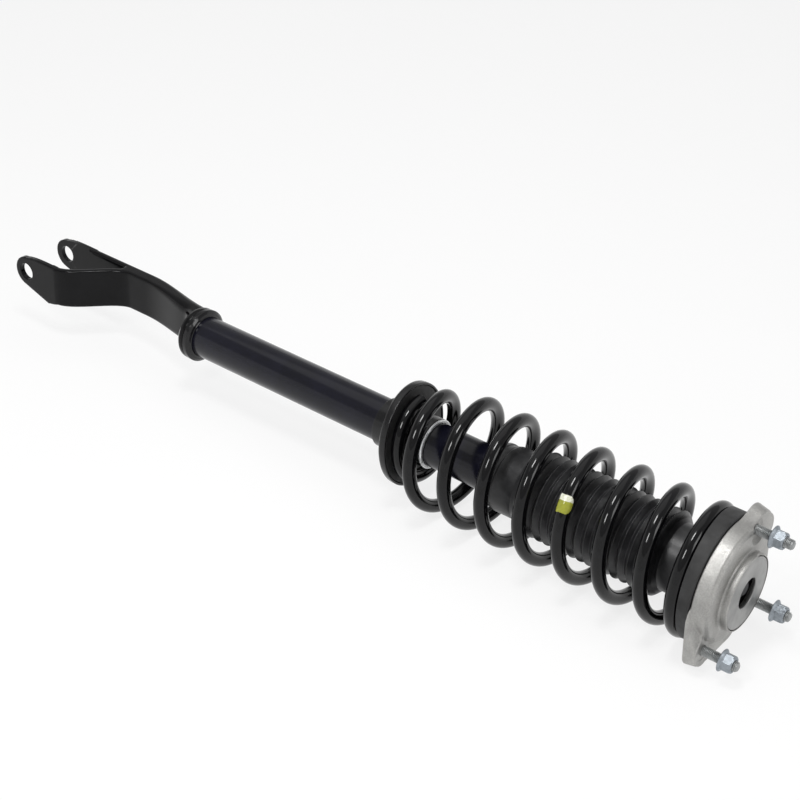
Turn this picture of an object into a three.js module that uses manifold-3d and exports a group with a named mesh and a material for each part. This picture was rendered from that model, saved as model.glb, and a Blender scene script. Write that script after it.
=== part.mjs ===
// A front suspension strut assembly: a gas damper in a cranked fork, with its coil spring, dust boot
// and three-stud top mount. Millimetres, +Z up. The strut lies along +X, its top mount at the +X end.
// Stations along the strut are counted from the bolt axis in the fork's ears.
import * as THREE from "three";
import { mergeVertices } from "three/addons/utils/BufferGeometryUtils.js";
import Module from "manifold-3d";

const wasm = await Module();
wasm.setup();

// ---- Driving dimensions ----
const gap = 0.3; // clearance between pieces that touch or slide

const fork = {
  reach: 240, // bolt axis to the back of the socket
  earGap: 57,
  earThickness: 6,
  armThickness: 8,
  boltHole: 20,
  boltLift: 1.5, // bolt axis above the strut's axis
  tipRadius: 17.8,
  earReach: 46, // radius about the bolt axis that is machined flat inside the ears
  cornerStation: 35,
  cornerDepth: 28,
  armTop: 22,
  armBottom: 25,
  earCrown: 22.5,
  crankLength: 72,
  bladeThickness: 16.5,
  bladeLength: 24,
  neckThickness: 22,
  neckShift: 13, // how far the neck draws in towards the strut's axis
  socketWall: 6.2,
  socketLength: 9,
  socketFloor: 6,
  cornerRound: 2.6,
};
const collar = {
  length: 8,
  wall: 6.5,
  lipWall: 1.1,
  lipEdge: 0.7,
  groove: 1.6,
  chamfer: 3.4,
  chamferStep: 1.5,
};
const tube = { diameter: 46, wall: 2.5, length: 444, capThickness: 7 };
const seat = {
  belowTubeTop: 143.5, // top of the tube down to the face that carries the spring
  dishRadius: 53.5,
  leanUp: 6, // degrees the dish leans back towards +Z
  leanAside: 4, // degrees it leans back towards +Y
  dishThickness: 2.4,
  lipHeight: 7,
  padThickness: 6,
  hubWall: 3,
  hubBelow: 28,
  hubAbove: 26,
  ringLength: 4.5,
};
const spring = {
  wire: 14,
  radius: 59, // centre of the wire in the open coils
  tailRadius: 39, // centre of the wire in the closed lower coil
  turns: 8.6,
  lowerClosed: 0.216,
  upperClosed: 0.213,
  ramp: 0.7, // turns over which the pitch grows from closed to full
  tailTurns: 1.284, // turns over which the lower coil widens
  tailEase: 1.15,
  leanTurns: 0.4, // turns that lie along the leaning dish
  leanFade: 0.9, // turns over which the lean dies away
  startAngle: -6.4, // degrees from +Z towards -Y
  sides: 6,
  stepsPerTurn: 22,
};
const travel = { stroke: 110, rodExposed: 198, stopGap: 1.2 };
const rod = {
  diameter: 14,
  guideLength: 20,
  sealLength: 5,
  pistonLength: 16,
  stopLength: 6,
  stopWall: 5,
  nutLength: 9,
};
const gasPiston = { length: 16, chamber: 62, ring: 3 };
const cap = { wall: 6.2, length: 33, top: 4 }; // steel cap that the bump stop strikes
const boot = {
  cuffRadius: 33,
  cuffBelow: 39, // lower cuff below the tube's top
  cuffEdge: 1.2,
  bandBelow: 26, // the cuff's thicker band below the tube's top
  wall: 2, // measured square to the strut's axis
  ribs: 16,
  ribRadius: 42.8,
  valleyRadius: 37.6,
  firstRib: 6, // above the tube's top
  upperCuff: 26,
  upperRise: 3, // over which the last pleat draws in to the upper cuff
  upperRadius: 32.6,
};
const stop = { radius: 22, waist: 17, grooves: 2, cupWall: 2, cupDepth: 12 };
const isolator = {
  radius: 64,
  thickness: 11,
  hubLength: 24,
  edge: 1.2,
  seatSlope: 3,
  follow: 0.69, // turns of the coil, from its upper end, that the rubber lies on
  followFade: 0.2, // turns over which the rubber draws back to its flat face
};
const mount = {
  thickness: 17,
  discRadius: 61.5, // round flank at the isolator
  topRadius: 57.5, // and at the top face
  topShiftY: -3.2, // the top face stands off the strut's axis
  topShiftZ: 2.4,
  lobeFillet: 50,
  lobeDraft: 2.5,
  faceEdge: 0.8,
  plateInset: 1.1, // the lobed plate's round part inside the flank
  edge: 1.2,
  bossRadius: 38.6,
  bossTop: 38.2,
  bossHeight: 8,
  bossDrop: 3, // boss and cover stand off the strut's axis towards -Z
  bossEdge: 0.4,
  bushRadius: 28,
  sleeveWall: 7,
  coverRadius: 36.2,
  coverThickness: 3.2,
  coverHole: 30.4,
  coverGroove: 0.7,
  padRadius: 12.6,
  padDepth: 4, // pads below the top face
  padSink: 0.5, // and below the lobes, which they are cut into
};
// Each stud stands on a lobe. lobeY and lobeZ: how far the lobe's middle stands from the stud's.
const studs = [
  { y: 20, z: 51.3, lobeY: 13, lobeZ: -6, lobeRadius: 20, above: 37, nutLift: 16.5 },
  { y: 45.9, z: -44.5, lobeY: -3.9, lobeZ: 3.5, lobeRadius: 16.3, above: 39, nutLift: 22 },
  { y: -47.1, z: -45.6, lobeY: 4.1, lobeZ: -4.4, lobeRadius: 17.5, above: 35.5, nutLift: 19 },
];
const stud = { diameter: 10, headDiameter: 14, headThickness: 4, chamfer: 1.2 };
const nut = { flangeDiameter: 22, flangeThickness: 2.6, across: 15.5, height: 12.5 };
const rodNut = { across: 22, height: 8, washerRadius: 13, washerThickness: 2.5, rodAbove: 3 };

const facets = { large: 36, medium: 24, boot: 20, small: 16 }; // sides of round pieces

// ---- Stations that follow from them ----
const tubeStart = fork.reach + fork.socketFloor + gap;
const tubeTop = tubeStart + tube.length;
const seatFace = tubeTop - seat.belowTubeTop;
const isolatorFace = tubeTop + travel.rodExposed;
const mountFace = isolatorFace + isolator.thickness + gap;
const mountTop = mountFace + mount.thickness;
const bossTop = mountTop + mount.bossHeight;
const padFace = mountTop - mount.padDepth;
const tubeRadius = tube.diameter / 2;
const boreRadius = tubeRadius - tube.wall;
const rodRadius = rod.diameter / 2;
const capOuter = tubeRadius + cap.wall;
const capTop = tubeTop + gap + cap.top;

// ---- Colours ----
const finishes = {
  blackPaint: { color: 0x17181a, roughness: 0.38, metalness: 0.25 },
  glossPaint: { color: 0x0c0d0f, roughness: 0.16, metalness: 0.2 },
  springPaint: { color: 0x090a0b, roughness: 0.14, metalness: 0.15 },
  rubber: { color: 0x1d1e1f, roughness: 0.7, metalness: 0 },
  foam: { color: 0xcfc39a, roughness: 0.85, metalness: 0 },
  casting: { color: 0xb9b8b4, roughness: 0.5, metalness: 0.85 },
  plate: { color: 0x8f9090, roughness: 0.42, metalness: 0.8 },
  zinc: { color: 0xc3c9cf, roughness: 0.3, metalness: 0.9 },
  steel: { color: 0x8b8e92, roughness: 0.35, metalness: 0.9 },
  chrome: { color: 0xd9dce0, roughness: 0.08, metalness: 1 },
  alloy: { color: 0xd6d7d8, roughness: 0.28, metalness: 0.9 },
};

// ---- Small geometry kit ----

// A closed outline of [station, radius] points turned about the strut's axis.
function revolve(outline, segments = facets.large) {
  const area = outline.reduce((sum, [x, r], i) => {
    const [nx, nr] = outline[(i + 1) % outline.length];
    return sum + x * nr - nx * r;
  }, 0);
  const ordered = area > 0 ? [...outline].reverse() : outline;
  const points = [...ordered, ordered[0]].map(([x, r]) => new THREE.Vector2(r, x));
  const geometry = new THREE.LatheGeometry(points, segments);
  return geometry.applyMatrix4(alongX);
}

// Turns +Y onto +X and keeps +Z up, for shapes made about +Y.
const alongX = new THREE.Matrix4().makeBasis(
  new THREE.Vector3(0, 1, 0),
  new THREE.Vector3(1, 0, 0),
  new THREE.Vector3(0, 0, -1),
);

function ring(start, end, inner, outer, chamfer = 0, segments = facets.large) {
  const c = Math.min(chamfer, (end - start) / 3, (outer - inner) / 3);
  const outline = [[start, inner], [start, outer - c]];
  if (c > 0) outline.push([start + c, outer], [end - c, outer]);
  else outline.push([start, outer], [end, outer]);
  if (c > 0) outline.push([end, outer - c]);
  outline.push([end, inner]);
  return revolve(outline, segments);
}

function disc(start, end, outer, chamfer = 0, segments = facets.large) {
  return ring(start, end, 0, outer, chamfer, segments);
}

// A shape drawn in the strut's cross-section (x along +Y, y along +Z), thick from start to end.
function slab(shape, start, end, curveSegments) {
  const geometry = new THREE.ExtrudeGeometry(shape, {
    depth: end - start,
    bevelEnabled: false,
    curveSegments,
  });
  return geometry.applyMatrix4(
    new THREE.Matrix4()
      .makeBasis(new THREE.Vector3(0, 1, 0), new THREE.Vector3(0, 0, 1), new THREE.Vector3(1, 0, 0))
      .setPosition(start, 0, 0),
  );
}

// A skin over rings of points, all of one count, closed by flat ends.
function loft(rings) {
  const count = rings[0].length;
  const positions = rings.flat().flatMap((p) => [p.x, p.y, p.z]);
  const faces = [];
  rings.slice(1).forEach((_, k) => {
    for (let i = 0; i < count; i++) {
      const a = k * count + i;
      const b = k * count + ((i + 1) % count);
      faces.push(a, b, b + count, a, b + count, a + count);
    }
  });
  const last = (rings.length - 1) * count;
  for (let i = 1; i < count - 1; i++) {
    faces.push(0, i + 1, i);
    faces.push(last, last + i, last + i + 1);
  }
  const geometry = new THREE.BufferGeometry();
  geometry.setAttribute("position", new THREE.Float32BufferAttribute(positions, 3));
  geometry.setIndex(faces);
  return geometry;
}

function bare(geometry) {
  const copy = geometry.clone();
  for (const name of Object.keys(copy.attributes)) {
    if (name !== "position") copy.deleteAttribute(name);
  }
  return mergeVertices(copy, 1e-4);
}

function solid(geometry) {
  const merged = bare(geometry);
  return new wasm.Manifold(
    new wasm.Mesh({
      numProp: 3,
      vertProperties: new Float32Array(merged.attributes.position.array),
      triVerts: new Uint32Array(merged.index.array),
    }),
  );
}

function geometryOf(body) {
  const mesh = body.getMesh();
  const geometry = new THREE.BufferGeometry();
  geometry.setAttribute("position", new THREE.BufferAttribute(new Float32Array(mesh.vertProperties), 3));
  geometry.setIndex(new THREE.BufferAttribute(new Uint32Array(mesh.triVerts), 1));
  geometry.computeVertexNormals();
  return geometry;
}

function join(...geometries) {
  return geometries.map(solid).reduce((whole, next) => whole.add(next));
}

function cut(body, ...tools) {
  return geometryOf(tools.map(solid).reduce((rest, tool) => rest.subtract(tool), body));
}

const strut = new THREE.Group(); // its own origin is the bolt axis; part centres it on its base

function piece(name, geometry, finish, y = 0, z = 0) {
  const mesh = new THREE.Mesh(geometry, new THREE.MeshStandardMaterial(finish));
  mesh.name = name;
  mesh.position.set(0, y, z);
  strut.add(mesh);
}

const smooth = (t) => {
  const u = THREE.MathUtils.clamp(t, 0, 1);
  return u * u * (3 - 2 * u);
};
const lerp = THREE.MathUtils.lerp;

// ---- Fork ----

// A cross-section with round corners, across one direction and up +Z, about a point of the path.
function armSection(centre, across, halfWidth, bottom, top, round, perCorner = 2) {
  const r = Math.min(round, halfWidth, (top - bottom) / 2);
  const corners = [
    [halfWidth - r, bottom + r, -90],
    [halfWidth - r, top - r, 0],
    [r - halfWidth, top - r, 90],
    [r - halfWidth, bottom + r, 180],
  ];
  return corners.flatMap(([w, h, from]) =>
    Array.from({ length: perCorner + 1 }, (_, i) => {
      const angle = THREE.MathUtils.degToRad(from + (90 * i) / perCorner);
      const side = w + r * Math.cos(angle);
      const up = h + r * Math.sin(angle);
      return new THREE.Vector3(centre.x + across.x * side, centre.y + across.y * side, up);
    }),
  );
}

const armOuter = fork.earGap / 2 + fork.earThickness;
const bladeNear = armOuter - fork.bladeThickness;
const crankStart = fork.earReach;

// The middle line of the cranked near arm, in plan.
function crankPoint(x) {
  const t = THREE.MathUtils.clamp((x - crankStart) / fork.crankLength, 0, 1);
  const start = -armOuter + fork.armThickness / 2;
  const end = bladeNear + fork.armThickness / 2;
  return new THREE.Vector3(x, lerp(start, end, (1 - Math.cos(Math.PI * t)) / 2), 0);
}

function crankedArm(steps = 11) {
  const end = crankStart + fork.crankLength;
  const rings = [];
  for (let i = 0; i <= steps; i++) {
    const x = lerp(fork.cornerStation, end, i / steps);
    const tangent = crankPoint(x + 0.5).y - crankPoint(x - 0.5).y;
    const across = new THREE.Vector3(-tangent, 1, 0).normalize();
    const half = fork.armThickness / 2;
    rings.push(armSection(crankPoint(x), across, half, -fork.armBottom, fork.armTop, fork.cornerRound));
  }
  return loft(rings);
}

function straightArm() {
  const middle = armOuter - fork.armThickness / 2;
  const across = new THREE.Vector3(0, 1, 0);
  const stations = [fork.cornerStation, crankStart + fork.crankLength];
  return loft(
    stations.map((x) =>
      armSection(
        new THREE.Vector3(x, middle, 0),
        across,
        fork.armThickness / 2,
        -fork.armBottom,
        fork.armTop,
        fork.cornerRound,
      ),
    ),
  );
}

// One ear, drawn from the side: a round tip about the bolt axis that widens into the arm.
function earPlate(outer, inner) {
  const r = fork.tipRadius;
  const root = fork.cornerStation + 14;
  const corner = new THREE.Vector2(fork.cornerStation, -fork.cornerDepth - fork.boltLift);
  const reachOut = Math.hypot(corner.x, corner.y);
  const down = Math.atan2(corner.y, corner.x) - Math.acos(r / reachOut);
  const shape = new THREE.Shape();
  shape.absarc(0, 0, r, down, Math.PI / 2, true);
  shape.quadraticCurveTo(r * 0.8, fork.earCrown - fork.boltLift + 1, root, fork.armTop - fork.boltLift);
  shape.lineTo(root, -fork.armBottom - fork.boltLift);
  shape.quadraticCurveTo(corner.x + 4, corner.y + 0.6, corner.x, corner.y);
  shape.closePath();
  const bevel = 1;
  const geometry = new THREE.ExtrudeGeometry(shape, {
    depth: outer - inner - 2 * bevel,
    bevelThickness: bevel,
    bevelSize: bevel,
    bevelOffset: -bevel,
    bevelSegments: 1,
    curveSegments: 14,
  });
  return geometry.applyMatrix4(
    new THREE.Matrix4()
      .makeBasis(new THREE.Vector3(1, 0, 0), new THREE.Vector3(0, 0, 1), new THREE.Vector3(0, -1, 0))
      .setPosition(0, outer - bevel, fork.boltLift),
  );
}

// The blade and the neck that runs from it into the socket.
function forkNeck(steps = 9) {
  const start = crankStart + fork.crankLength - 16;
  const neckStart = crankStart + fork.crankLength + fork.bladeLength;
  const end = fork.reach + 4;
  const rings = [];
  const stations = [start, start + 16];
  for (let i = 0; i <= steps; i++) stations.push(lerp(neckStart, end, i / steps));
  for (const x of stations) {
    const t = (x - neckStart) / (end - neckStart);
    const flare = smooth((t - 0.72) / 0.28);
    const thick = lerp(fork.bladeThickness, fork.neckThickness, smooth(t));
    const far = armOuter - fork.neckShift * smooth(t);
    const near = far - thick - 12 * flare * flare;
    rings.push(
      armSection(
        new THREE.Vector3(x, (near + far) / 2, 0),
        new THREE.Vector3(0, 1, 0),
        (far - near) / 2,
        -fork.armBottom,
        fork.armTop + 2 * smooth(t),
        lerp(fork.cornerRound, 10, smooth(t)),
        4,
      ),
    );
  }
  return loft(rings);
}

function addFork() {
  const socketEnd = fork.reach + fork.socketLength;
  const bore = tubeRadius + gap;
  const socketRadius = bore + fork.socketWall;
  const socket = revolve([
    [fork.reach - 4, 0],
    [fork.reach - 4, socketRadius - 11],
    [fork.reach - 1.5, socketRadius - 4],
    [fork.reach + 1, socketRadius - 1],
    [fork.reach + 3.5, socketRadius],
    [socketEnd, socketRadius],
    [socketEnd, 0],
  ]);
  const body = join(
    crankedArm(),
    straightArm(),
    earPlate(-armOuter + fork.armThickness, -armOuter),
    earPlate(armOuter, armOuter - fork.armThickness),
    forkNeck(),
    socket,
  );
  const acrossEars = (radius, halfLength) => {
    const pin = new THREE.CylinderGeometry(radius, radius, 2 * halfLength, facets.large);
    return pin.translate(0, 0, fork.boltLift);
  };
  const yoke = cut(
    body,
    acrossEars(fork.boltHole / 2, armOuter + 5),
    acrossEars(fork.earReach, fork.earGap / 2),
    disc(fork.reach + fork.socketFloor, socketEnd + 5, bore),
  );
  piece("fork_yoke", yoke, finishes.blackPaint);

  const start = socketEnd + gap;
  const end = start + collar.length;
  const grooveEnd = start + collar.groove;
  const outer = bore + collar.wall;
  const lip = bore + collar.lipWall;
  piece(
    "fork_collar",
    revolve([
      [start, bore],
      [start, outer - collar.groove],
      [grooveEnd, outer - collar.groove],
      [grooveEnd + 1, outer],
      [end - collar.chamfer, outer],
      [end - collar.chamfer / 2, outer - collar.chamferStep],
      [end - collar.lipEdge, lip],
      [end, lip - collar.lipEdge],
      [end, bore],
    ]),
    finishes.blackPaint,
  );
}

// ---- Damper tube and what is fixed to it ----

function addTube() {
  piece("strut_tube", ring(tubeStart, tubeTop, boreRadius, tubeRadius, 0.8), finishes.glossPaint);
  const capEnd = tubeStart + tube.capThickness;
  piece(
    "tube_end_cap",
    disc(tubeStart + gap, capEnd, boreRadius - gap, 0, facets.medium),
    finishes.steel,
  );
  const capInner = tubeRadius + 2 * gap;
  piece(
    "tube_top_cap",
    revolve([
      [tubeTop - cap.length, capInner],
      [tubeTop - cap.length, capOuter - 1],
      [tubeTop - cap.length + 1, capOuter - gap],
      [capTop - 2, capOuter - gap],
      [capTop, capOuter - 2 - gap],
      [capTop, rodRadius + 2],
      [tubeTop + gap, rodRadius + 2],
      [tubeTop + gap, capInner],
    ], facets.boot),
    finishes.blackPaint,
  );
}

const slope = (degrees) => Math.tan(THREE.MathUtils.degToRad(degrees));

// How far the leaning dish stands forward of its middle, at a point of the cross-section.
function leanAt(y, z) {
  return -z * slope(seat.leanUp) - y * slope(seat.leanAside);
}

// Leans what lies between two stations of a turned shape.
function leaned(geometry, from, to) {
  const points = geometry.getAttribute("position");
  for (let i = 0; i < points.count; i++) {
    const x = points.getX(i);
    if (x > from && x < to) points.setX(i, x + leanAt(points.getY(i), points.getZ(i)));
  }
  return geometry;
}

function addLowerSeat() {
  const inner = tubeRadius + gap;
  const hub = inner + seat.hubWall;
  const dish = seatFace - seat.padThickness - gap;
  const back = dish - seat.dishThickness;
  const lip = dish + seat.lipHeight;
  const hubEnd = seatFace + seat.hubAbove;
  piece(
    "lower_spring_seat",
    leaned(revolve([
      [dish - seat.hubBelow, inner],
      [dish - seat.hubBelow, hub - 0.8],
      [dish - seat.hubBelow + 1, hub],
      [back - 7, hub],
      [back - 2, hub + 3],
      [back, hub + 9],
      [back, seat.dishRadius - 5],
      [back + 1.5, seat.dishRadius - 1.5],
      [back + 5, seat.dishRadius],
      [lip, seat.dishRadius],
      [lip, seat.dishRadius - seat.dishThickness],
      [dish + 3, seat.dishRadius - seat.dishThickness],
      [dish, seat.dishRadius - seat.dishThickness - 3],
      [dish, hub],
      [hubEnd, hub],
      [hubEnd, inner],
    ]), back - 8, lip + 1),
    finishes.blackPaint,
  );
  const padOuter = seat.dishRadius - seat.dishThickness - gap;
  piece(
    "lower_spring_pad",
    leaned(revolve([
      [dish + gap, hub + gap],
      [dish + gap, padOuter - 3.4],
      [dish + gap + 3, padOuter - 0.2],
      [seatFace - 1, padOuter - 0.2],
      [seatFace, padOuter - 1.2],
      [seatFace, hub + 6],
      [seatFace + 7, hub + 2.5],
      [seatFace + 8, hub + gap],
    ]), dish, seatFace + 9),
    finishes.rubber,
  );
  const ringStart = hubEnd + gap;
  const ringEnd = ringStart + seat.ringLength;
  piece(
    "seat_locating_ring",
    revolve([
      [ringStart, inner],
      [ringStart, hub],
      [ringEnd - 2.2, hub],
      [ringEnd, hub - 1.2],
      [ringEnd, inner],
    ]),
    finishes.alloy,
  );
}

// ---- Coil spring ----

const springLow = seatFace + spring.wire / 2 + gap;
const springHigh = isolatorFace - spring.wire / 2 - gap;

// How many full-pitch turns the wire has climbed after so many turns from its lower end.
function climbed(turn) {
  const rampEnd = spring.lowerClosed + spring.ramp;
  if (turn <= spring.lowerClosed) return 0;
  if (turn <= rampEnd) return (turn - spring.lowerClosed) ** 2 / (2 * spring.ramp);
  return turn - spring.lowerClosed - spring.ramp / 2;
}

function springPoint(turn) {
  const whole = spring.turns - spring.lowerClosed - spring.upperClosed - spring.ramp;
  const fromTop = spring.upperClosed - spring.lowerClosed;
  const left = climbed(spring.turns - turn - fromTop);
  const share = turn < spring.turns / 2 ? climbed(turn) / whole : 1 - left / whole;
  const widen = smooth(((turn - spring.lowerClosed) / spring.tailTurns) ** spring.tailEase || 0);
  const radius = lerp(spring.tailRadius, spring.radius, widen);
  const angle = THREE.MathUtils.degToRad(spring.startAngle + 360 * turn);
  const y = -radius * Math.sin(angle);
  const z = radius * Math.cos(angle);
  const lean = leanAt(y, z) * (1 - smooth((turn - spring.leanTurns) / spring.leanFade));
  return new THREE.Vector3(lerp(springLow, springHigh, share) + lean, y, z);
}

function addSpring() {
  const steps = Math.round(spring.turns * spring.stepsPerTurn);
  const rings = [];
  const middles = [];
  for (let i = 0; i <= steps; i++) {
    const turn = (spring.turns * i) / steps;
    const middle = springPoint(turn);
    const along = springPoint(turn + 0.01).sub(springPoint(turn - 0.01)).normalize();
    const outward = new THREE.Vector3(0, middle.y, middle.z).normalize();
    const up = new THREE.Vector3().crossVectors(along, outward).normalize();
    const out = new THREE.Vector3().crossVectors(up, along).normalize();
    middles.push(middle);
    rings.push(
      Array.from({ length: spring.sides }, (_, k) => {
        const angle = (2 * Math.PI * (k + 0.5)) / spring.sides;
        return middle
          .clone()
          .addScaledVector(out, (spring.wire / 2) * Math.cos(angle))
          .addScaledVector(up, (spring.wire / 2) * Math.sin(angle));
      }),
    );
  }
  let least = Infinity;
  for (let i = 0; i < middles.length; i++) {
    for (let j = i + Math.round(spring.stepsPerTurn / 2); j < middles.length; j++) {
      least = Math.min(least, middles[i].distanceTo(middles[j]) - spring.wire);
    }
  }
  console.log("coil spring: least gap to itself " + least.toFixed(2) + " mm");
  piece("coil_spring", loft(rings), finishes.springPaint);
}

// ---- Piston rod and the pieces inside the tube ----

function addRodAndPiston() {
  const guideTop = tubeTop - rod.sealLength - gap;
  const guideLow = guideTop - rod.guideLength;
  const stopTop = guideLow - gap;
  const stopLow = stopTop - rod.stopLength;
  const pistonTop = stopLow - gap;
  const pistonLow = pistonTop - rod.pistonLength;
  const nutLow = pistonLow - gap - rod.nutLength;
  const bore = rodRadius + gap;
  piece(
    "piston_rod",
    revolve([
      [nutLow - 2, 0],
      [nutLow - 2, rodRadius - 1.2],
      [nutLow - 1, rodRadius],
      [bossTop - rodNut.rodAbove - 1, rodRadius],
      [bossTop - rodNut.rodAbove, rodRadius - 1],
      [bossTop - rodNut.rodAbove, 0],
    ], facets.medium),
    finishes.chrome,
  );
  piece("rod_guide", ring(guideLow, guideTop, bore, boreRadius - gap, 0, facets.medium), finishes.alloy);
  const seal = ring(guideTop + gap, tubeTop, bore, boreRadius - gap, 0, facets.medium);
  piece("rod_seal", seal, finishes.rubber);
  const stopRing = ring(stopLow, stopTop, bore, rodRadius + rod.stopWall, 0, facets.medium);
  piece("rebound_stop", stopRing, finishes.rubber);
  const band = 1.2;
  const pistonRadius = boreRadius - gap;
  piece(
    "piston",
    revolve([
      [pistonLow, bore],
      [pistonLow, pistonRadius - 4],
      [pistonLow + 3, pistonRadius - band - gap],
      [pistonTop - 3, pistonRadius - band - gap],
      [pistonTop, pistonRadius - 4],
      [pistonTop, bore],
    ], facets.medium),
    finishes.steel,
  );
  piece(
    "piston_band",
    ring(pistonLow + 4, pistonTop - 4, pistonRadius - band, pistonRadius, 0, facets.medium),
    finishes.rubber,
  );
  piece("piston_nut", hexRing(nutLow, pistonLow - gap, bore, 2 * rodRadius + 8), finishes.steel);
  const low = tubeStart + gasPiston.chamber;
  const high = low + gasPiston.length;
  const groove = (low + high) / 2;
  piece(
    "gas_piston",
    revolve([
      [low, 0],
      [low, pistonRadius - 1],
      [low + 1, pistonRadius],
      [groove - gasPiston.ring / 2 - gap, pistonRadius],
      [groove - gasPiston.ring / 2 - gap, pistonRadius - 2.4 - gap],
      [groove + gasPiston.ring / 2 + gap, pistonRadius - 2.4 - gap],
      [groove + gasPiston.ring / 2 + gap, pistonRadius],
      [high - 1, pistonRadius],
      [high, pistonRadius - 1],
      [high, pistonRadius - 6],
      [low + 5, pistonRadius - 8],
      [low + 5, 0],
    ], facets.medium),
    finishes.alloy,
  );
  piece(
    "gas_piston_ring",
    ring(
      groove - gasPiston.ring / 2,
      groove + gasPiston.ring / 2,
      pistonRadius - 2.4,
      pistonRadius,
      0,
      facets.medium,
    ),
    finishes.rubber,
  );
}

// A hexagonal piece about the strut's axis with a round hole; across is its width over flats.
function hexRing(start, end, inner, across, y = 0, z = 0) {
  const shape = new THREE.Shape();
  const r = across / Math.sqrt(3);
  for (let i = 0; i < 6; i++) {
    const angle = (Math.PI * (2 * i + 1)) / 6;
    if (i) shape.lineTo(y + r * Math.cos(angle), z + r * Math.sin(angle));
    else shape.moveTo(y + r * Math.cos(angle), z + r * Math.sin(angle));
  }
  shape.closePath();
  const hole = new THREE.Path();
  hole.absarc(y, z, inner, 0, 2 * Math.PI, true);
  shape.holes.push(hole);
  return slab(shape, start, end, facets.small);
}

// ---- Bump stop, boot and upper isolator ----

function addBumpStop() {
  const low = capTop + travel.stroke + travel.stopGap;
  const cupFloor = isolatorFace - stop.cupWall - gap;
  const high = cupFloor - gap;
  const bore = rodRadius + gap;
  const outline = [[low, bore], [low, stop.radius - 7], [low + 3, stop.radius - 4]];
  const pitch = (high - low - 6) / (stop.grooves + 1);
  for (let i = 0; i <= stop.grooves; i++) {
    const bulge = low + 4 + pitch * (i + 0.35);
    outline.push([bulge, stop.radius - 2.5 + (2 * i) / stop.grooves]);
    if (i < stop.grooves) outline.push([bulge + pitch * 0.5, stop.waist]);
  }
  outline.push([high, stop.radius - 0.6], [high, bore]);
  piece("bump_stop", revolve(outline, facets.medium), finishes.foam);
  const cupRadius = stop.radius + gap + stop.cupWall;
  piece(
    "bump_stop_cup",
    revolve([
      [cupFloor - stop.cupDepth, stop.radius + gap],
      [cupFloor - stop.cupDepth, cupRadius],
      [cupFloor + stop.cupWall, cupRadius],
      [cupFloor + stop.cupWall, bore],
      [cupFloor, bore],
      [cupFloor, stop.radius + gap],
    ], facets.medium),
    finishes.steel,
  );
}

function addBoot() {
  const low = tubeTop - boot.cuffBelow;
  const band = tubeTop - boot.bandBelow;
  const end = isolatorFace - 3;
  const ribStart = tubeTop + boot.firstRib;
  const ribEnd = isolatorFace - boot.upperCuff - boot.upperRise;
  const pitch = (ribEnd - ribStart) / boot.ribs;
  const cuff = [
    [low, boot.cuffRadius - boot.cuffEdge],
    [low + boot.cuffEdge, boot.cuffRadius],
    [band, boot.cuffRadius],
    [band + boot.cuffEdge, boot.cuffRadius + boot.cuffEdge],
    [tubeTop - 2, boot.cuffRadius + boot.cuffEdge],
  ];
  const pleats = [[ribStart, boot.valleyRadius]];
  for (let i = 0; i < boot.ribs; i++) {
    pleats.push([ribStart + pitch * (i + 0.5), boot.ribRadius]);
    pleats.push([ribStart + pitch * (i + 1), boot.valleyRadius]);
  }
  pleats.push([ribEnd + boot.upperRise, boot.upperRadius], [end, boot.upperRadius]);
  const inner = [[low, capOuter], [capTop + 1, capOuter]];
  inner.push(...pleats.slice(1).map(([x, r]) => [x, r - boot.wall]));
  piece("dust_boot", revolve([...cuff, ...pleats, ...inner.reverse()], facets.boot), finishes.rubber);
}

// How far the isolator's face reaches down at a point of the cross-section, to stay on the coil's last turn.
function coilFall(y, z) {
  const angle = THREE.MathUtils.radToDeg(Math.atan2(-y, z));
  const turn = (angle - spring.startAngle) / 360;
  const fromEnd = THREE.MathUtils.euclideanModulo(spring.turns - turn, 1);
  const fall = springHigh - springPoint(spring.turns - Math.min(fromEnd, isolator.follow)).x;
  return fall * (1 - smooth((fromEnd - isolator.follow) / isolator.followFade));
}

function addIsolator() {
  const hubInner = stop.radius + gap + stop.cupWall + gap;
  const hubOuter = boot.upperRadius - boot.wall - 2 * gap;
  const low = isolatorFace - isolator.hubLength;
  const high = isolatorFace + isolator.thickness;
  const seatInner = spring.radius - spring.wire / 2 - 2;
  const edge = isolator.edge;
  const body = revolve([
    [low, hubInner],
    [low, hubOuter - edge],
    [low + edge, hubOuter],
    [isolatorFace, hubOuter],
    [isolatorFace, seatInner - isolator.seatSlope],
    [isolatorFace, seatInner],
    [isolatorFace, isolator.radius - edge],
    [isolatorFace + edge, isolator.radius],
    [high - edge, isolator.radius],
    [high, isolator.radius - edge],
    [high, hubInner],
  ]);
  const points = body.getAttribute("position");
  for (let i = 0; i < points.count; i++) {
    const [x, y, z] = [points.getX(i), points.getY(i), points.getZ(i)];
    const underCoil = Math.hypot(y, z) > seatInner - 1 && x < isolatorFace + edge + 1;
    if (underCoil) points.setX(i, x - coilFall(y, z));
  }
  piece("upper_spring_isolator", body, finishes.rubber);
}

// ---- Top mount ----

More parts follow.
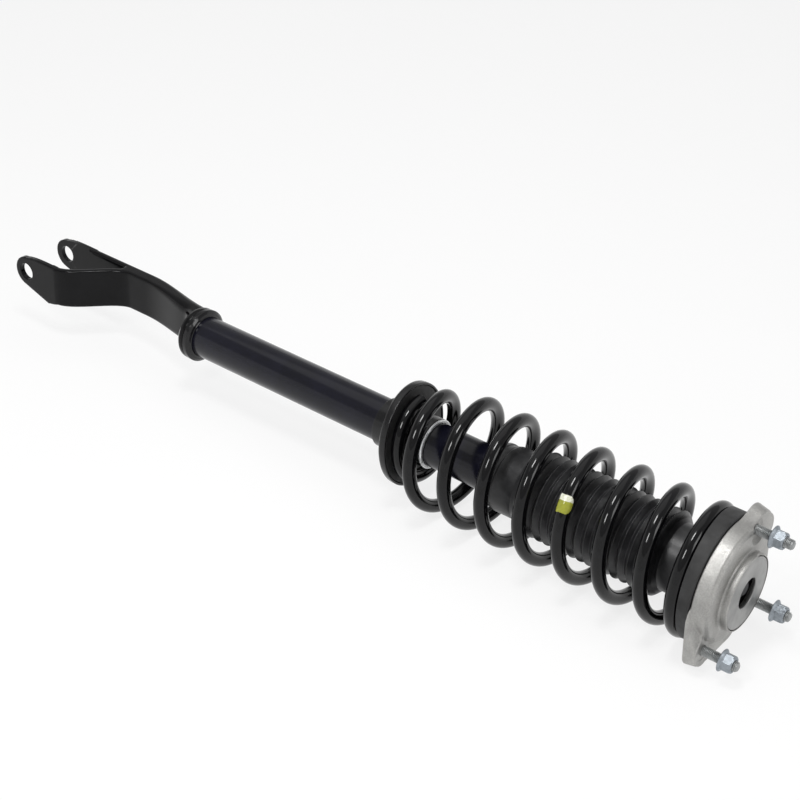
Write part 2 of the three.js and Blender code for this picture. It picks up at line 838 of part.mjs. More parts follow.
// The casting's outline at a share of its height: a disc with a lobe at each stud, and fillets
// tangent to both.
function castingOutline(share, discInset, lobeInset) {
  const discR = lerp(mount.discRadius, mount.topRadius, share) - discInset;
  const shiftY = mount.topShiftY * share;
  const shiftZ = mount.topShiftZ * share;
  const around = studs
    .map((at) => {
      const y = at.y + at.lobeY - shiftY;
      const z = at.z + at.lobeZ - shiftZ;
      return { angle: Math.atan2(z, y), distance: Math.hypot(y, z), radius: at.lobeRadius - lobeInset };
    })
    .sort((a, b) => a.angle - b.angle);
  const lobesWith = (fillet) =>
    around.map((lobe) => {
      const toFillet = discR + fillet;
      const across = lobe.radius + fillet;
      const cosine = (lobe.distance ** 2 + toFillet ** 2 - across ** 2) / (2 * lobe.distance * toFillet);
      return { ...lobe, toFillet, spread: Math.acos(THREE.MathUtils.clamp(cosine, -1, 1)) };
    });
  const meets = (lobes) =>
    lobes.some((lobe, i) => {
      const next = lobes[(i + 1) % lobes.length];
      const apart = THREE.MathUtils.euclideanModulo(next.angle - lobe.angle, 2 * Math.PI);
      return lobe.spread + next.spread > apart - 0.02;
    });
  let filletR = mount.lobeFillet; // drawn tighter where two lobes' fillets would meet
  while (meets(lobesWith(filletR)) && filletR > 1) filletR *= 0.95;
  const lobes = lobesWith(filletR);
  const points = [];
  const arc = (cy, cz, r, from, to, steps) => {
    for (let i = 0; i < steps; i++) {
      const angle = lerp(from, to, i / steps);
      points.push([shiftY + cy + r * Math.cos(angle), shiftZ + cz + r * Math.sin(angle)]);
    }
  };
  lobes.forEach((lobe, i) => {
    const [cy, cz] = [lobe.distance * Math.cos(lobe.angle), lobe.distance * Math.sin(lobe.angle)];
    const fillet = (side) => {
      const angle = lobe.angle + side * lobe.spread;
      return [lobe.toFillet * Math.cos(angle), lobe.toFillet * Math.sin(angle)];
    };
    const [ay, az] = fillet(-1);
    const [by, bz] = fillet(1);
    const turnTo = (from, to) => from + THREE.MathUtils.euclideanModulo(to - from, 2 * Math.PI);
    const inFrom = Math.atan2(-az, -ay);
    const inTo = Math.atan2(cz - az, cy - ay);
    arc(ay, az, filletR, inFrom, inFrom - THREE.MathUtils.euclideanModulo(inFrom - inTo, 2 * Math.PI), 4);
    const lobeFrom = Math.atan2(az - cz, ay - cy);
    arc(cy, cz, lobe.radius, lobeFrom, turnTo(lobeFrom, Math.atan2(bz - cz, by - cy)), 10);
    const outFrom = Math.atan2(cz - bz, cy - by);
    const outTo = Math.atan2(-bz, -by);
    arc(by, bz, filletR, outFrom, outFrom - THREE.MathUtils.euclideanModulo(outFrom - outTo, 2 * Math.PI), 4);
    const next = lobes[(i + 1) % lobes.length];
    const discFrom = lobe.angle + lobe.spread;
    arc(0, 0, discR, discFrom, turnTo(discFrom, next.angle - next.spread), 8);
  });
  return points;
}

// The lobed plate up to the pads, its round part just inside the flank of the body that stands on it.
function castingPlate() {
  const top = padFace + mount.padSink;
  const levels = [
    [mountFace, mount.faceEdge],
    [mountFace + mount.faceEdge, 0],
    [top - mount.edge, mount.lobeDraft],
    [top, mount.lobeDraft + mount.edge],
  ];
  return loft(
    levels.map(([x, inset]) => {
      const share = (x - mountFace) / mount.thickness;
      const outline = castingOutline(share, inset + mount.plateInset, inset);
      return outline.map(([y, z]) => new THREE.Vector3(x, y, z));
    }),
  );
}

// The round body, whose flank leans so that its top face stands off the strut's axis.
function castingDrum() {
  const levels = [
    [mountFace, mount.faceEdge],
    [mountFace + mount.faceEdge, 0],
    [mountTop - mount.edge, 0],
    [mountTop, mount.edge],
  ];
  const sides = 2 * facets.medium;
  return loft(
    levels.map(([x, inset]) => {
      const share = (x - mountFace) / mount.thickness;
      const radius = lerp(mount.discRadius, mount.topRadius, share) - inset;
      return Array.from({ length: sides }, (_, i) => {
        const angle = (2 * Math.PI * (i + 0.5)) / sides;
        const y = mount.topShiftY * share + radius * Math.cos(angle);
        return new THREE.Vector3(x, y, mount.topShiftZ * share + radius * Math.sin(angle));
      });
    }),
  );
}

function addTopMount() {
  const coverSeat = bossTop - mount.coverThickness - gap;
  const boss = revolve([
    [mountTop - 2, 0],
    [mountTop - 2, mount.bossRadius + 2 * mount.bossEdge],
    [mountTop, mount.bossRadius + mount.bossEdge],
    [mountTop + mount.bossEdge, mount.bossRadius],
    [bossTop - mount.bossEdge, mount.bossTop],
    [bossTop, mount.bossTop - mount.bossEdge],
    [bossTop, 0],
  ]);
  boss.translate(0, 0, -mount.bossDrop);
  const coverRecess = disc(coverSeat, bossTop + 5, mount.coverRadius + mount.coverGroove);
  coverRecess.translate(0, 0, -mount.bossDrop);
  const tools = [disc(mountFace - 5, bossTop + 5, mount.bushRadius), coverRecess];
  const headTop = mountFace + stud.headThickness + gap;
  for (const { y, z } of studs) {
    const round = (start, end, radius, sides) => disc(start, end, radius, 0, sides).translate(0, y, z);
    tools.push(round(padFace, bossTop + 5, mount.padRadius, facets.medium));
    tools.push(round(mountFace - 5, bossTop, stud.diameter / 2 + gap, facets.small));
    tools.push(round(mountFace - 5, headTop, stud.headDiameter / 2 + gap, facets.small));
  }
  const casting = join(castingPlate(), castingDrum(), boss);
  piece("top_mount_casting", cut(casting, ...tools), finishes.casting);

  const sleeveOuter = rodRadius + gap + mount.sleeveWall;
  const bushEnd = coverSeat - 2;
  const bushStart = mountFace + gap;
  piece(
    "mount_bush_rubber",
    revolve([
      [bushStart, sleeveOuter + gap],
      [bushStart, mount.bushRadius - gap],
      [bushEnd - 3, mount.bushRadius - gap],
      [bushEnd - 5, (mount.bushRadius + sleeveOuter) / 2],
      [bushEnd - 3, sleeveOuter + gap],
    ], facets.medium),
    finishes.rubber,
  );
  const nutTop = bossTop - rodNut.rodAbove - 3;
  const nutLow = nutTop - rodNut.height;
  const washerLow = nutLow - gap - rodNut.washerThickness;
  piece(
    "mount_bush_sleeve",
    ring(isolatorFace + gap, washerLow - gap, rodRadius + gap, sleeveOuter, 0, facets.medium),
    finishes.steel,
  );
  const onRod = rodRadius + gap;
  const washer = ring(washerLow, nutLow - gap, onRod, rodNut.washerRadius, 0, facets.medium);
  piece("rod_washer", washer, finishes.zinc);
  piece("rod_nut", hexRing(nutLow, nutTop, onRod, rodNut.across), finishes.zinc);
  piece(
    "mount_cover_disc",
    revolve([
      [coverSeat + gap, mount.coverHole / 2],
      [coverSeat + gap, mount.coverRadius],
      [bossTop - 1, mount.coverRadius],
      [bossTop - 0.2, mount.coverRadius - 1],
      [bossTop - 0.2, mount.coverHole / 2 + 0.6],
      [bossTop - 0.8, mount.coverHole / 2],
    ]),
    finishes.plate,
    0,
    -mount.bossDrop,
  );
}

function addStuds() {
  const shank = stud.diameter / 2;
  studs.forEach(({ y, z, above, nutLift }, i) => {
    const nutLow = padFace + nutLift;
    piece(
      "mount_stud_" + (i + 1),
      revolve([
        [mountFace, 0],
        [mountFace, stud.headDiameter / 2],
        [mountFace + stud.headThickness, stud.headDiameter / 2],
        [mountFace + stud.headThickness, shank],
        [padFace + above - stud.chamfer, shank],
        [padFace + above, shank - stud.chamfer],
        [padFace + above, 0],
      ], facets.small),
      finishes.zinc,
      y,
      z,
    );
    const flangeTop = nutLow + nut.flangeThickness;
    const hexTop = nutLow + nut.height;
    const body = join(
      revolve([
        [nutLow, 0],
        [nutLow, nut.flangeDiameter / 2 - 0.5],
        [nutLow + 0.6, nut.flangeDiameter / 2],
        [nutLow + 1.4, nut.flangeDiameter / 2],
        [flangeTop + 1, nut.across / 2 - 0.5],
        [flangeTop + 1, 0],
      ], facets.medium),
      hexRing(flangeTop, hexTop, 1, nut.across),
    );
    const rounded = body.intersect(
      solid(
        revolve([
          [nutLow - 1, 0],
          [nutLow - 1, nut.flangeDiameter],
          [flangeTop + 1, nut.flangeDiameter],
          [hexTop - 2, nut.across / Math.sqrt(3) + 0.6],
          [hexTop + 0.4, nut.across / 2],
          [hexTop + 0.4, 0],
        ], facets.medium),
      ),
    );
    piece(
      "flange_nut_" + (i + 1),
      cut(rounded, disc(nutLow - 5, hexTop + 5, shank + gap, 0, facets.small)),
      finishes.zinc,
      y,
      z,
    );
  });
}

addFork();
addTube();
addLowerSeat();
addSpring();
addRodAndPiston();
addBumpStop();
addBoot();
addIsolator();
addTopMount();
addStuds();

// The part's origin is the middle of its base.
const part = new THREE.Group();
part.add(strut);
const box = new THREE.Box3().setFromObject(strut, true);
const middle = box.getCenter(new THREE.Vector3());
strut.position.set(-middle.x, -middle.y, -box.min.z);

export default part;
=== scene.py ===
"""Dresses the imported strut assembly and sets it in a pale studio.

Sizes are in millimetres, and stations are counted along the strut from the bolt axis in the fork's
ears, as in the part's own source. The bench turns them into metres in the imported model's frame.
"""

from __future__ import annotations

import logging
import math
from dataclasses import dataclass
from enum import Enum
from typing import Callable, Iterable, Sequence, Union

import bmesh
import bpy
import numpy as np
from mathutils import Matrix, Vector


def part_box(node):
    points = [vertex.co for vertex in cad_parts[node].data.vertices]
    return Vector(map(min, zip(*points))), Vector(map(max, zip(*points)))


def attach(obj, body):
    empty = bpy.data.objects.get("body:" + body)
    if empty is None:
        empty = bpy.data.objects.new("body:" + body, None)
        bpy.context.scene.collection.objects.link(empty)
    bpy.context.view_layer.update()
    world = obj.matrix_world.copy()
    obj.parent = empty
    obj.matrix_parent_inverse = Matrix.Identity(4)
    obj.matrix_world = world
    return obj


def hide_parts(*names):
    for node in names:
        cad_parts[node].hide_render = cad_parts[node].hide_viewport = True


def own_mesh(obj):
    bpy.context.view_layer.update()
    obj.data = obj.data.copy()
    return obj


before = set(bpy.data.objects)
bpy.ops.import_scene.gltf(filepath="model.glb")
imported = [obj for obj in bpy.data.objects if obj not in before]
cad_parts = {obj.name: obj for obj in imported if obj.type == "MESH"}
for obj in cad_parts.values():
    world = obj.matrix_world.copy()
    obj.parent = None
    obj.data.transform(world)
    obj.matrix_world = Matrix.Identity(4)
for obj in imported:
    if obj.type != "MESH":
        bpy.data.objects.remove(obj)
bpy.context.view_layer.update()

LOG = logging.getLogger("strut")
MM = 0.001
GAP = 0.3
FULL = 2 * math.pi
CREASE = 38.0
BEND_STEPS = 5
WELD = 1e-6
SLIVER = 1e-7
Trio = tuple[float, float, float]
Setting = Union[str, float, bool, Sequence]
Radius = Callable[[float], float]


class Body(Enum):
    """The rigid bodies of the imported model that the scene's pieces ride on."""

    DAMPER = "damper_body"
    ROD = "rod_assembly"


class Slot(Enum):
    """The record's material slots."""

    BLACK = "black_paint"
    GLOSS = "gloss_paint"
    SPRING = "spring_paint"
    RUBBER = "rubber"
    FOAM = "foam"
    CASTING = "casting"
    PLATE = "plate"
    ZINC = "zinc"
    STEEL = "steel"
    CHROME = "chrome"
    ALLOY = "alloy"


# ---- Shader writing ----


class Wire:
    """An output socket that takes part in sums, each of which adds its Math node."""

    def __init__(self, board: Board, socket: bpy.types.NodeSocket) -> None:
        """Keeps the socket and the board that its node is on."""
        self.board, self.socket = board, socket

    def _sum(self, operation: str, *terms: Wire | float) -> Wire:
        """Adds one Math node over the terms."""
        return self.board.node("ShaderNodeMath", {"operation": operation}, dict(enumerate(terms)))[0]

    def __add__(self, other: Wire | float) -> Wire:
        """This plus other."""
        return self._sum("ADD", self, other)

    def __radd__(self, other: float) -> Wire:
        """Other plus this."""
        return self._sum("ADD", other, self)

    def __sub__(self, other: Wire | float) -> Wire:
        """This less other."""
        return self._sum("SUBTRACT", self, other)

    def __rsub__(self, other: float) -> Wire:
        """Other less this."""
        return self._sum("SUBTRACT", other, self)

    def __mul__(self, other: Wire | float) -> Wire:
        """This times other."""
        return self._sum("MULTIPLY", self, other)

    def __rmul__(self, other: float) -> Wire:
        """Other times this."""
        return self._sum("MULTIPLY", other, self)

    def __pow__(self, power: Wire | float) -> Wire:
        """This raised to a power."""
        return self._sum("POWER", self, power)

    def __rpow__(self, base: float) -> Wire:
        """Base raised to this."""
        return self._sum("POWER", base, self)

    def __abs__(self) -> Wire:
        """This without its sign."""
        return self._sum("ABSOLUTE", self)

    def sine(self) -> Wire:
        """The sine of this, in radians."""
        return self._sum("SINE", self)

    def most(self, other: Wire | float) -> Wire:
        """The larger of this and other."""
        return self._sum("MAXIMUM", self, other)

    def step(self, low: float, high: float) -> Wire:
        """A mask that goes smoothly from 0 to 1 as this goes from low to high, which may be below low."""
        sockets = {"Value": self, "From Min": low, "From Max": high}
        return self.board.node("ShaderNodeMapRange", {"interpolation_type": "SMOOTHSTEP"}, sockets)[0]


class Knot:
    """A shader node, read by its outputs' names or numbers."""

    def __init__(self, board: Board, node: bpy.types.Node) -> None:
        """Keeps the node and the board it is on."""
        self.board, self.made = board, node

    def __getitem__(self, output: str | int) -> Wire:
        """The wire that leaves one output."""
        return Wire(self.board, self.made.outputs[output])


class Board:
    """Writes nodes into one node tree."""

    def __init__(self, tree: bpy.types.NodeTree) -> None:
        """Clears the tree and keeps it."""
        tree.nodes.clear()
        self.tree = tree

    def node(
        self,
        kind: str,
        settings: dict[str, Setting] | None = None,
        sockets: dict[str | int, Wire | Setting] | None = None,
    ) -> Knot:
        """Adds a node of any kind.

        Args:
            kind: The node's type.
            settings: Its own settings, set first.
            sockets: A value or a wire for each input, by name or number.

        Returns:
            The node.
        """
        made = self.tree.nodes.new(kind)
        for name, value in (settings or {}).items():
            setattr(made, name, value)
        for name, value in (sockets or {}).items():
            if isinstance(value, Wire):
                self.tree.links.new(value.socket, made.inputs[name])
            else:
                made.inputs[name].default_value = value
        return Knot(self, made)

    def vector(self, operation: str, first: Wire, second: Sequence[float] = (0, 0, 0)) -> Knot:
        """A Vector Math node over a wire and a constant."""
        return self.node("ShaderNodeVectorMath", {"operation": operation}, {0: first, 1: second})

    def place(self) -> Wire:
        """The object's own coordinates, in metres."""
        return self.node("ShaderNodeTexCoord")["Object"]

    def axes(self, place: Wire) -> tuple[Wire, Wire, Wire]:
        """The x, y and z of a place."""
        parts = self.node("ShaderNodeSeparateXYZ", None, {"Vector": place})
        return parts["X"], parts["Y"], parts["Z"]

    def cloud(self, place: Wire, size: float, detail: float = 3.0, rough: float = 0.55) -> Wire:
        """Noise from 0 to 1, with patches of a size in millimetres and finer layers over them."""
        sockets = {"Vector": place, "Scale": 1 / (size * MM), "Detail": detail, "Roughness": rough}
        return self.node("ShaderNodeTexNoise", {"noise_dimensions": "3D"}, sockets)["Fac"]

    def between(self, mask: Wire, low: Wire | Setting, high: Wire | Setting) -> Wire:
        """A colour that goes from low to high as the mask goes from 0 to 1."""
        sockets = {0: mask, 6: low, 7: high}
        return self.node("ShaderNodeMix", {"data_type": "RGBA", "clamp_factor": True}, sockets)[2]

    def relief(self, height: Wire, depth: float) -> Wire:
        """A normal bent by a height from 0 to 1, of a depth in millimetres."""
        return self.node("ShaderNodeBump", None, {"Height": height, "Distance": depth * MM})["Normal"]

    def unseen(self) -> Wire:
        """1 for a ray that shows the surroundings: from the camera, off gloss or through glass."""
        path = self.node("ShaderNodeLightPath")
        return path["Is Camera Ray"].most(path["Is Glossy Ray"]).most(path["Is Transmission Ray"])


# ---- Finishes ----


@dataclass(frozen=True)
class Finish:
    """An even finish that drifts a little in colour and gloss over a fine grain."""

    name: str
    slot: Slot
    colour: Trio
    roughness: float
    metallic: float = 0.0
    specular: float = 0.5
    drift: float = 0.25
    drift_size: float = 22.0
    rub: float = 0.06
    grain: float = 0.004
    grain_size: float = 0.7

    def shade(self, share: float) -> tuple[float, float, float, float]:
        """The colour times one plus a share, as a socket takes it."""
        return (*(min(1.0, part * (1 + share)) for part in self.colour), 1.0)

    def tint(self, board: Board, place: Wire) -> Wire:
        """The colour over the surface."""
        cloud = board.cloud(place, self.drift_size).step(0.3, 0.7)
        return board.between(cloud, self.shade(-self.drift), self.shade(self.drift))

    def dullness(self, board: Board, place: Wire) -> Wire:
        """The roughness over the surface."""
        smear = board.cloud(place, self.drift_size * 0.6, 5.0).step(0.3, 0.7)
        return smear * (2 * self.rub) + (self.roughness - self.rub)

    def height(self, board: Board, place: Wire) -> tuple[Wire, float]:
        """The grain's height from 0 to 1, and how deep it is in millimetres."""
        return board.cloud(place, self.grain_size, 2.0), self.grain

    def material(self) -> bpy.types.Material:
        """The finish as a new material.

        Returns:
            The material.
        """
        made = bpy.data.materials.new(self.name)
        made.use_nodes = True
        board = Board(made.node_tree)
        place = board.place()
        sockets = {
            "Base Color": self.tint(board, place),
            "Roughness": self.dullness(board, place),
            "Metallic": self.metallic,
            "Specular IOR Level": self.specular,
            "Normal": board.relief(*self.height(board, place)),
        }
        shader = board.node("ShaderNodeBsdfPrincipled", None, sockets)
        board.node("ShaderNodeOutputMaterial", None, {"Surface": shader["BSDF"]})
        return made


@dataclass(frozen=True)
class Enamel(Finish):
    """Black paint with soft waves in its film and a little dust."""

    wave: float = 0.004
    wave_size: float = 9.0
    dust_size: float = 1.1
    dust: float = 0.12

    def height(self, board: Board, place: Wire) -> tuple[Wire, float]:
        """Long waves of the film under the fine grain."""
        waves, fine = board.cloud(place, self.wave_size, 1.0), board.cloud(place, self.grain_size, 2.0)
        return waves + fine * (self.grain / self.wave), self.wave

    def tint(self, board: Board, place: Wire) -> Wire:
        """The paint's colour with specks of dust."""
        specks = board.cloud(place, self.dust_size, 2.0).step(0.7, 0.76) * self.dust
        return board.between(specks, super().tint(board, place), (0.09, 0.09, 0.09, 1.0))


@dataclass(frozen=True)
class CoilEnamel(Enamel):
    """The spring's paint, with a two-colour daub that marks one limb of the wire."""

    centre: Trio = (0.0, 0.0, 0.0)
    along: Trio = (0.0, 0.0, 1.0)
    reach: float = 11.0
    white_end: float = 2.6
    daub: float = 9.0
    ragged: float = 1.4
    yellow: tuple[float, float, float, float] = (0.33, 0.34, 0.045, 1.0)
    white: tuple[float, float, float, float] = (0.85, 0.86, 0.74, 1.0)

    def tint(self, board: Board, place: Wire) -> Wire:
        """The paint's colour with the daub over it.

        Args:
            board: The board that the nodes go on.
            place: Where the colour is read.

        Returns:
            The colour.
        """
        offset = board.vector("SUBTRACT", place, self.centre)["Vector"]
        distance = board.vector("LENGTH", offset)["Value"]
        run = board.vector("DOT_PRODUCT", offset, self.along)["Value"]
        edge = board.cloud(place, 2.5, 3.0) * (self.ragged * MM) - self.ragged / 2 * MM
        near = (distance + edge).step(self.reach * MM, (self.reach - 1.0) * MM)
        band = (abs(run) + edge).step(self.daub * MM, (self.daub - 0.6) * MM)
        pale = (run + edge).step(-self.white_end * MM, -(self.white_end + 0.8) * MM)
        streak = board.cloud(place, 3.0, 4.0).step(0.35, 0.75) * 0.45
        daub = board.between(streak, board.between(pale, self.yellow, self.white), (0.2, 0.2, 0.03, 1))
        return board.between(near * band, super().tint(board, place), daub)


@dataclass(frozen=True)
class TurnedMetal(Finish):
    """Metal with the fine rings that a lathe leaves about an axis."""

    axis_y: float = 0.0
    axis_z: float = 0.0
    ring: float = 0.55
    depth: float = 0.006

    def height(self, board: Board, place: Wire) -> tuple[Wire, float]:
        """Rings about the strut's axis, broken by a fine grain.

        Args:
            board: The board that the nodes go on.
            place: Where the height is read.

        Returns:
            The height from 0 to 1, and how deep it is in millimetres.
        """
        _, y, z = board.axes(place)
        radius = ((y - self.axis_y) ** 2.0 + (z - self.axis_z) ** 2.0) ** 0.5
        rings = (radius * (FULL / (self.ring * MM))).sine() * 0.5 + 0.5
        return rings * 0.6 + board.cloud(place, self.grain_size, 3.0) * 0.4, self.depth


@dataclass(frozen=True)
class CastMetal(Finish):
    """Sand-cast metal: pitted all over, with a fine darker mottle."""

    pit: float = 0.2
    pit_size: float = 1.5
    mottle: float = 0.5

    def height(self, board: Board, place: Wire) -> tuple[Wire, float]:
        """A pebbled skin with small pits."""
        pits = board.cloud(place, self.pit_size * 0.7, 1.0).step(0.36, 0.28)
        return board.cloud(place, self.pit_size, 4.0, 0.6) * 0.8 - pits * 0.35, self.pit

    def tint(self, board: Board, place: Wire) -> Wire:
        """Grey that mottles finely."""
        fine = board.cloud(place, 1.6, 4.0, 0.7).step(0.3, 0.72) * self.mottle
        return board.between(fine, super().tint(board, place), self.shade(-0.45))


@dataclass(frozen=True)
class RodChrome(Finish):
    """Polished chrome up to the rod's threaded end, which is blackened and dull."""

    threads: float = 0.0

    def bare(self, board: Board, place: Wire) -> Wire:
        """A mask of the threaded end."""
        return board.axes(place)[0].step(self.threads, self.threads + MM)

    def tint(self, board: Board, place: Wire) -> Wire:
        """Chrome, then the blackened end."""
        return board.between(self.bare(board, place), super().tint(board, place), (0.03, 0.03, 0.032, 1.0))

    def dullness(self, board: Board, place: Wire) -> Wire:
        """Polished, then dull."""
        return super().dullness(board, place) + self.bare(board, place) * 0.35


@dataclass(frozen=True)
class SoftRubber(Finish):
    """Rubber with a moulded grain and a faint grey bloom."""

    bloom: float = 0.5
    bloom_size: float = 14.0

    def tint(self, board: Board, place: Wire) -> Wire:
        """Black that blooms to grey in patches."""
        patch = board.cloud(place, self.bloom_size, 6.0, 0.65).step(0.42, 0.78) * self.bloom
        return board.between(patch, super().tint(board, place), (0.05, 0.05, 0.052, 1.0))


@dataclass(frozen=True)
class Palette:
    """The finishes of the whole strut."""

    fork: Finish
    collar: Finish
    tube: Finish
    seat: Finish
    spring: Finish
    rubber: Finish
    boot: Finish
    foam: Finish
    casting: Finish
    cover: Finish
    zinc: Finish
    # The rod nut's finish: its zinc is painted near black, as painted shade for the hole it sits in.
    nut: Finish
    stud: Finish
    steel: Finish
    chrome: Finish
    alloy: Finish


# ---- Mesh writing ----


def ease(share: float) -> float:
    """A smooth step from 0 to 1 as share goes from 0 to 1."""
    held = min(max(share, 0.0), 1.0)
    return held * held * (3 - 2 * held)


def mix(low: float, high: float, share: float) -> float:
    """The value a share of the way from low to high."""
    return low + (high - low) * share


def hexagon(across: float, angle: float) -> float:
    """The radius of a hexagon over an angle."""
    sixth = math.pi / 3
    return across / 2 / math.cos((angle % sixth) - sixth / 2)


def rounded(corners: Sequence[Trio]) -> list[tuple[float, float]]:
    """Rounds the corners of a closed outline.

    Args:
        corners: A station, a radius and the rounding of each corner.

    Returns:
        The outline's points as station and radius.
    """
    points: list[tuple[float, float]] = []
    for i, (x, r, rounding) in enumerate(corners):
        here = Vector((x, r))
        back = Vector(corners[i - 1][:2]) - here
        ahead = Vector(corners[(i + 1) % len(corners)][:2]) - here
        if rounding <= 0 or back.length < WELD or ahead.length < WELD:
            points.append((x, r))
            continue
        most = min(back.length, ahead.length) * 0.49
        reach = min(rounding / math.tan(back.angle(ahead) / 2), most)
        first, last = here + back.normalized() * reach, here + ahead.normalized() * reach
        for k in range(BEND_STEPS + 1):
            s = k / BEND_STEPS
            bent = first * (1 - s) ** 2 + here * (2 * s * (1 - s)) + last * s**2
            points.append((bent.x, bent.y))
    return points


@dataclass
class Shell:
    """Points in strut millimetres and the faces over them."""

    points: np.ndarray
    faces: list[tuple[int, ...]]

    def __add__(self, other: Shell) -> Shell:
        """Both shells as one."""
        shifted = [tuple(i + len(self.points) for i in face) for face in other.faces]
        return Shell(np.vstack([self.points, other.points]), self.faces + shifted)

    def moved(self, y: float = 0.0, z: float = 0.0) -> Shell:
        """The shell somewhere else across the strut."""
        return Shell(self.points + np.array([0.0, y, z]), self.faces)

    @staticmethod
    def over(rows: Sequence | np.ndarray, hoop: bool = False) -> Shell:
        """Lays a skin over rings of points.

        Args:
            rows: Rings of equal count, as rings by points by 3.
            hoop: Whether the last ring joins the first. Otherwise flat caps close the ends.

        Returns:
            The closed shell.
        """
        grid = np.array(rows, float)
        rings, count = grid.shape[:2]
        faces: list[tuple[int, ...]] = []
        for k in range(rings if hoop else rings - 1):
            low, high = k * count, ((k + 1) % rings) * count
            for i in range(count):
                j = (i + 1) % count
                faces.append((low + i, low + j, high + j, high + i))
        if not hoop:
            last = (rings - 1) * count
            faces.append(tuple(range(count - 1, -1, -1)))
            faces.append(tuple(last + i for i in range(count)))
        return Shell(grid.reshape(-1, 3), faces)

    @staticmethod
    def turned(corners: Sequence[Trio], sides: int = 96) -> Shell:
        """Turns a closed outline about the strut's axis.

        Args:
            corners: A station, a radius and the rounding of each corner.
            sides: How many flats stand for the circle.

        Returns:
            The shell.
        """
        outline = np.array(rounded(corners))
        angle = np.linspace(0, FULL, sides, endpoint=False)
        x = np.repeat(outline[:, :1], sides, axis=1)
        y, z = np.outer(outline[:, 1], -np.sin(angle)), np.outer(outline[:, 1], np.cos(angle))
        return Shell.over(np.stack([x, y, z], axis=2), hoop=True)

    @staticmethod
    def drill(low: float, high: float, radius: float, sides: int) -> Shell:
        """A round tool along the strut."""
        return Shell.turned([(low, 0, 0), (low, radius, 0), (high, radius, 0), (high, 0, 0)], sides)

    @staticmethod
    def wrapped(rows: Sequence[tuple[float, Radius]], sides: int) -> Shell:
        """A shell whose radius changes round the axis too.

        Args:
            rows: A station and a radius by angle for each row of a closed outline.
            sides: Points round each row.

        Returns:
            The shell.
        """
        angles = [FULL * k / sides for k in range(sides)]
        grid = [[(x, -of(a) * math.sin(a), of(a) * math.cos(a)) for a in angles] for x, of in rows]
        return Shell.over(grid, hoop=True)


@dataclass(frozen=True)
class Stations:
    """Where things stand along the strut, and how far it closes."""

    tube_start: float = 246.3
    tube_top: float = 690.3
    seat_face: float = 546.8
    isolator_face: float = 888.3
    mount_face: float = 899.6
    mount_top: float = 916.6
    boss_top: float = 924.6
    stroke: float = 110.0


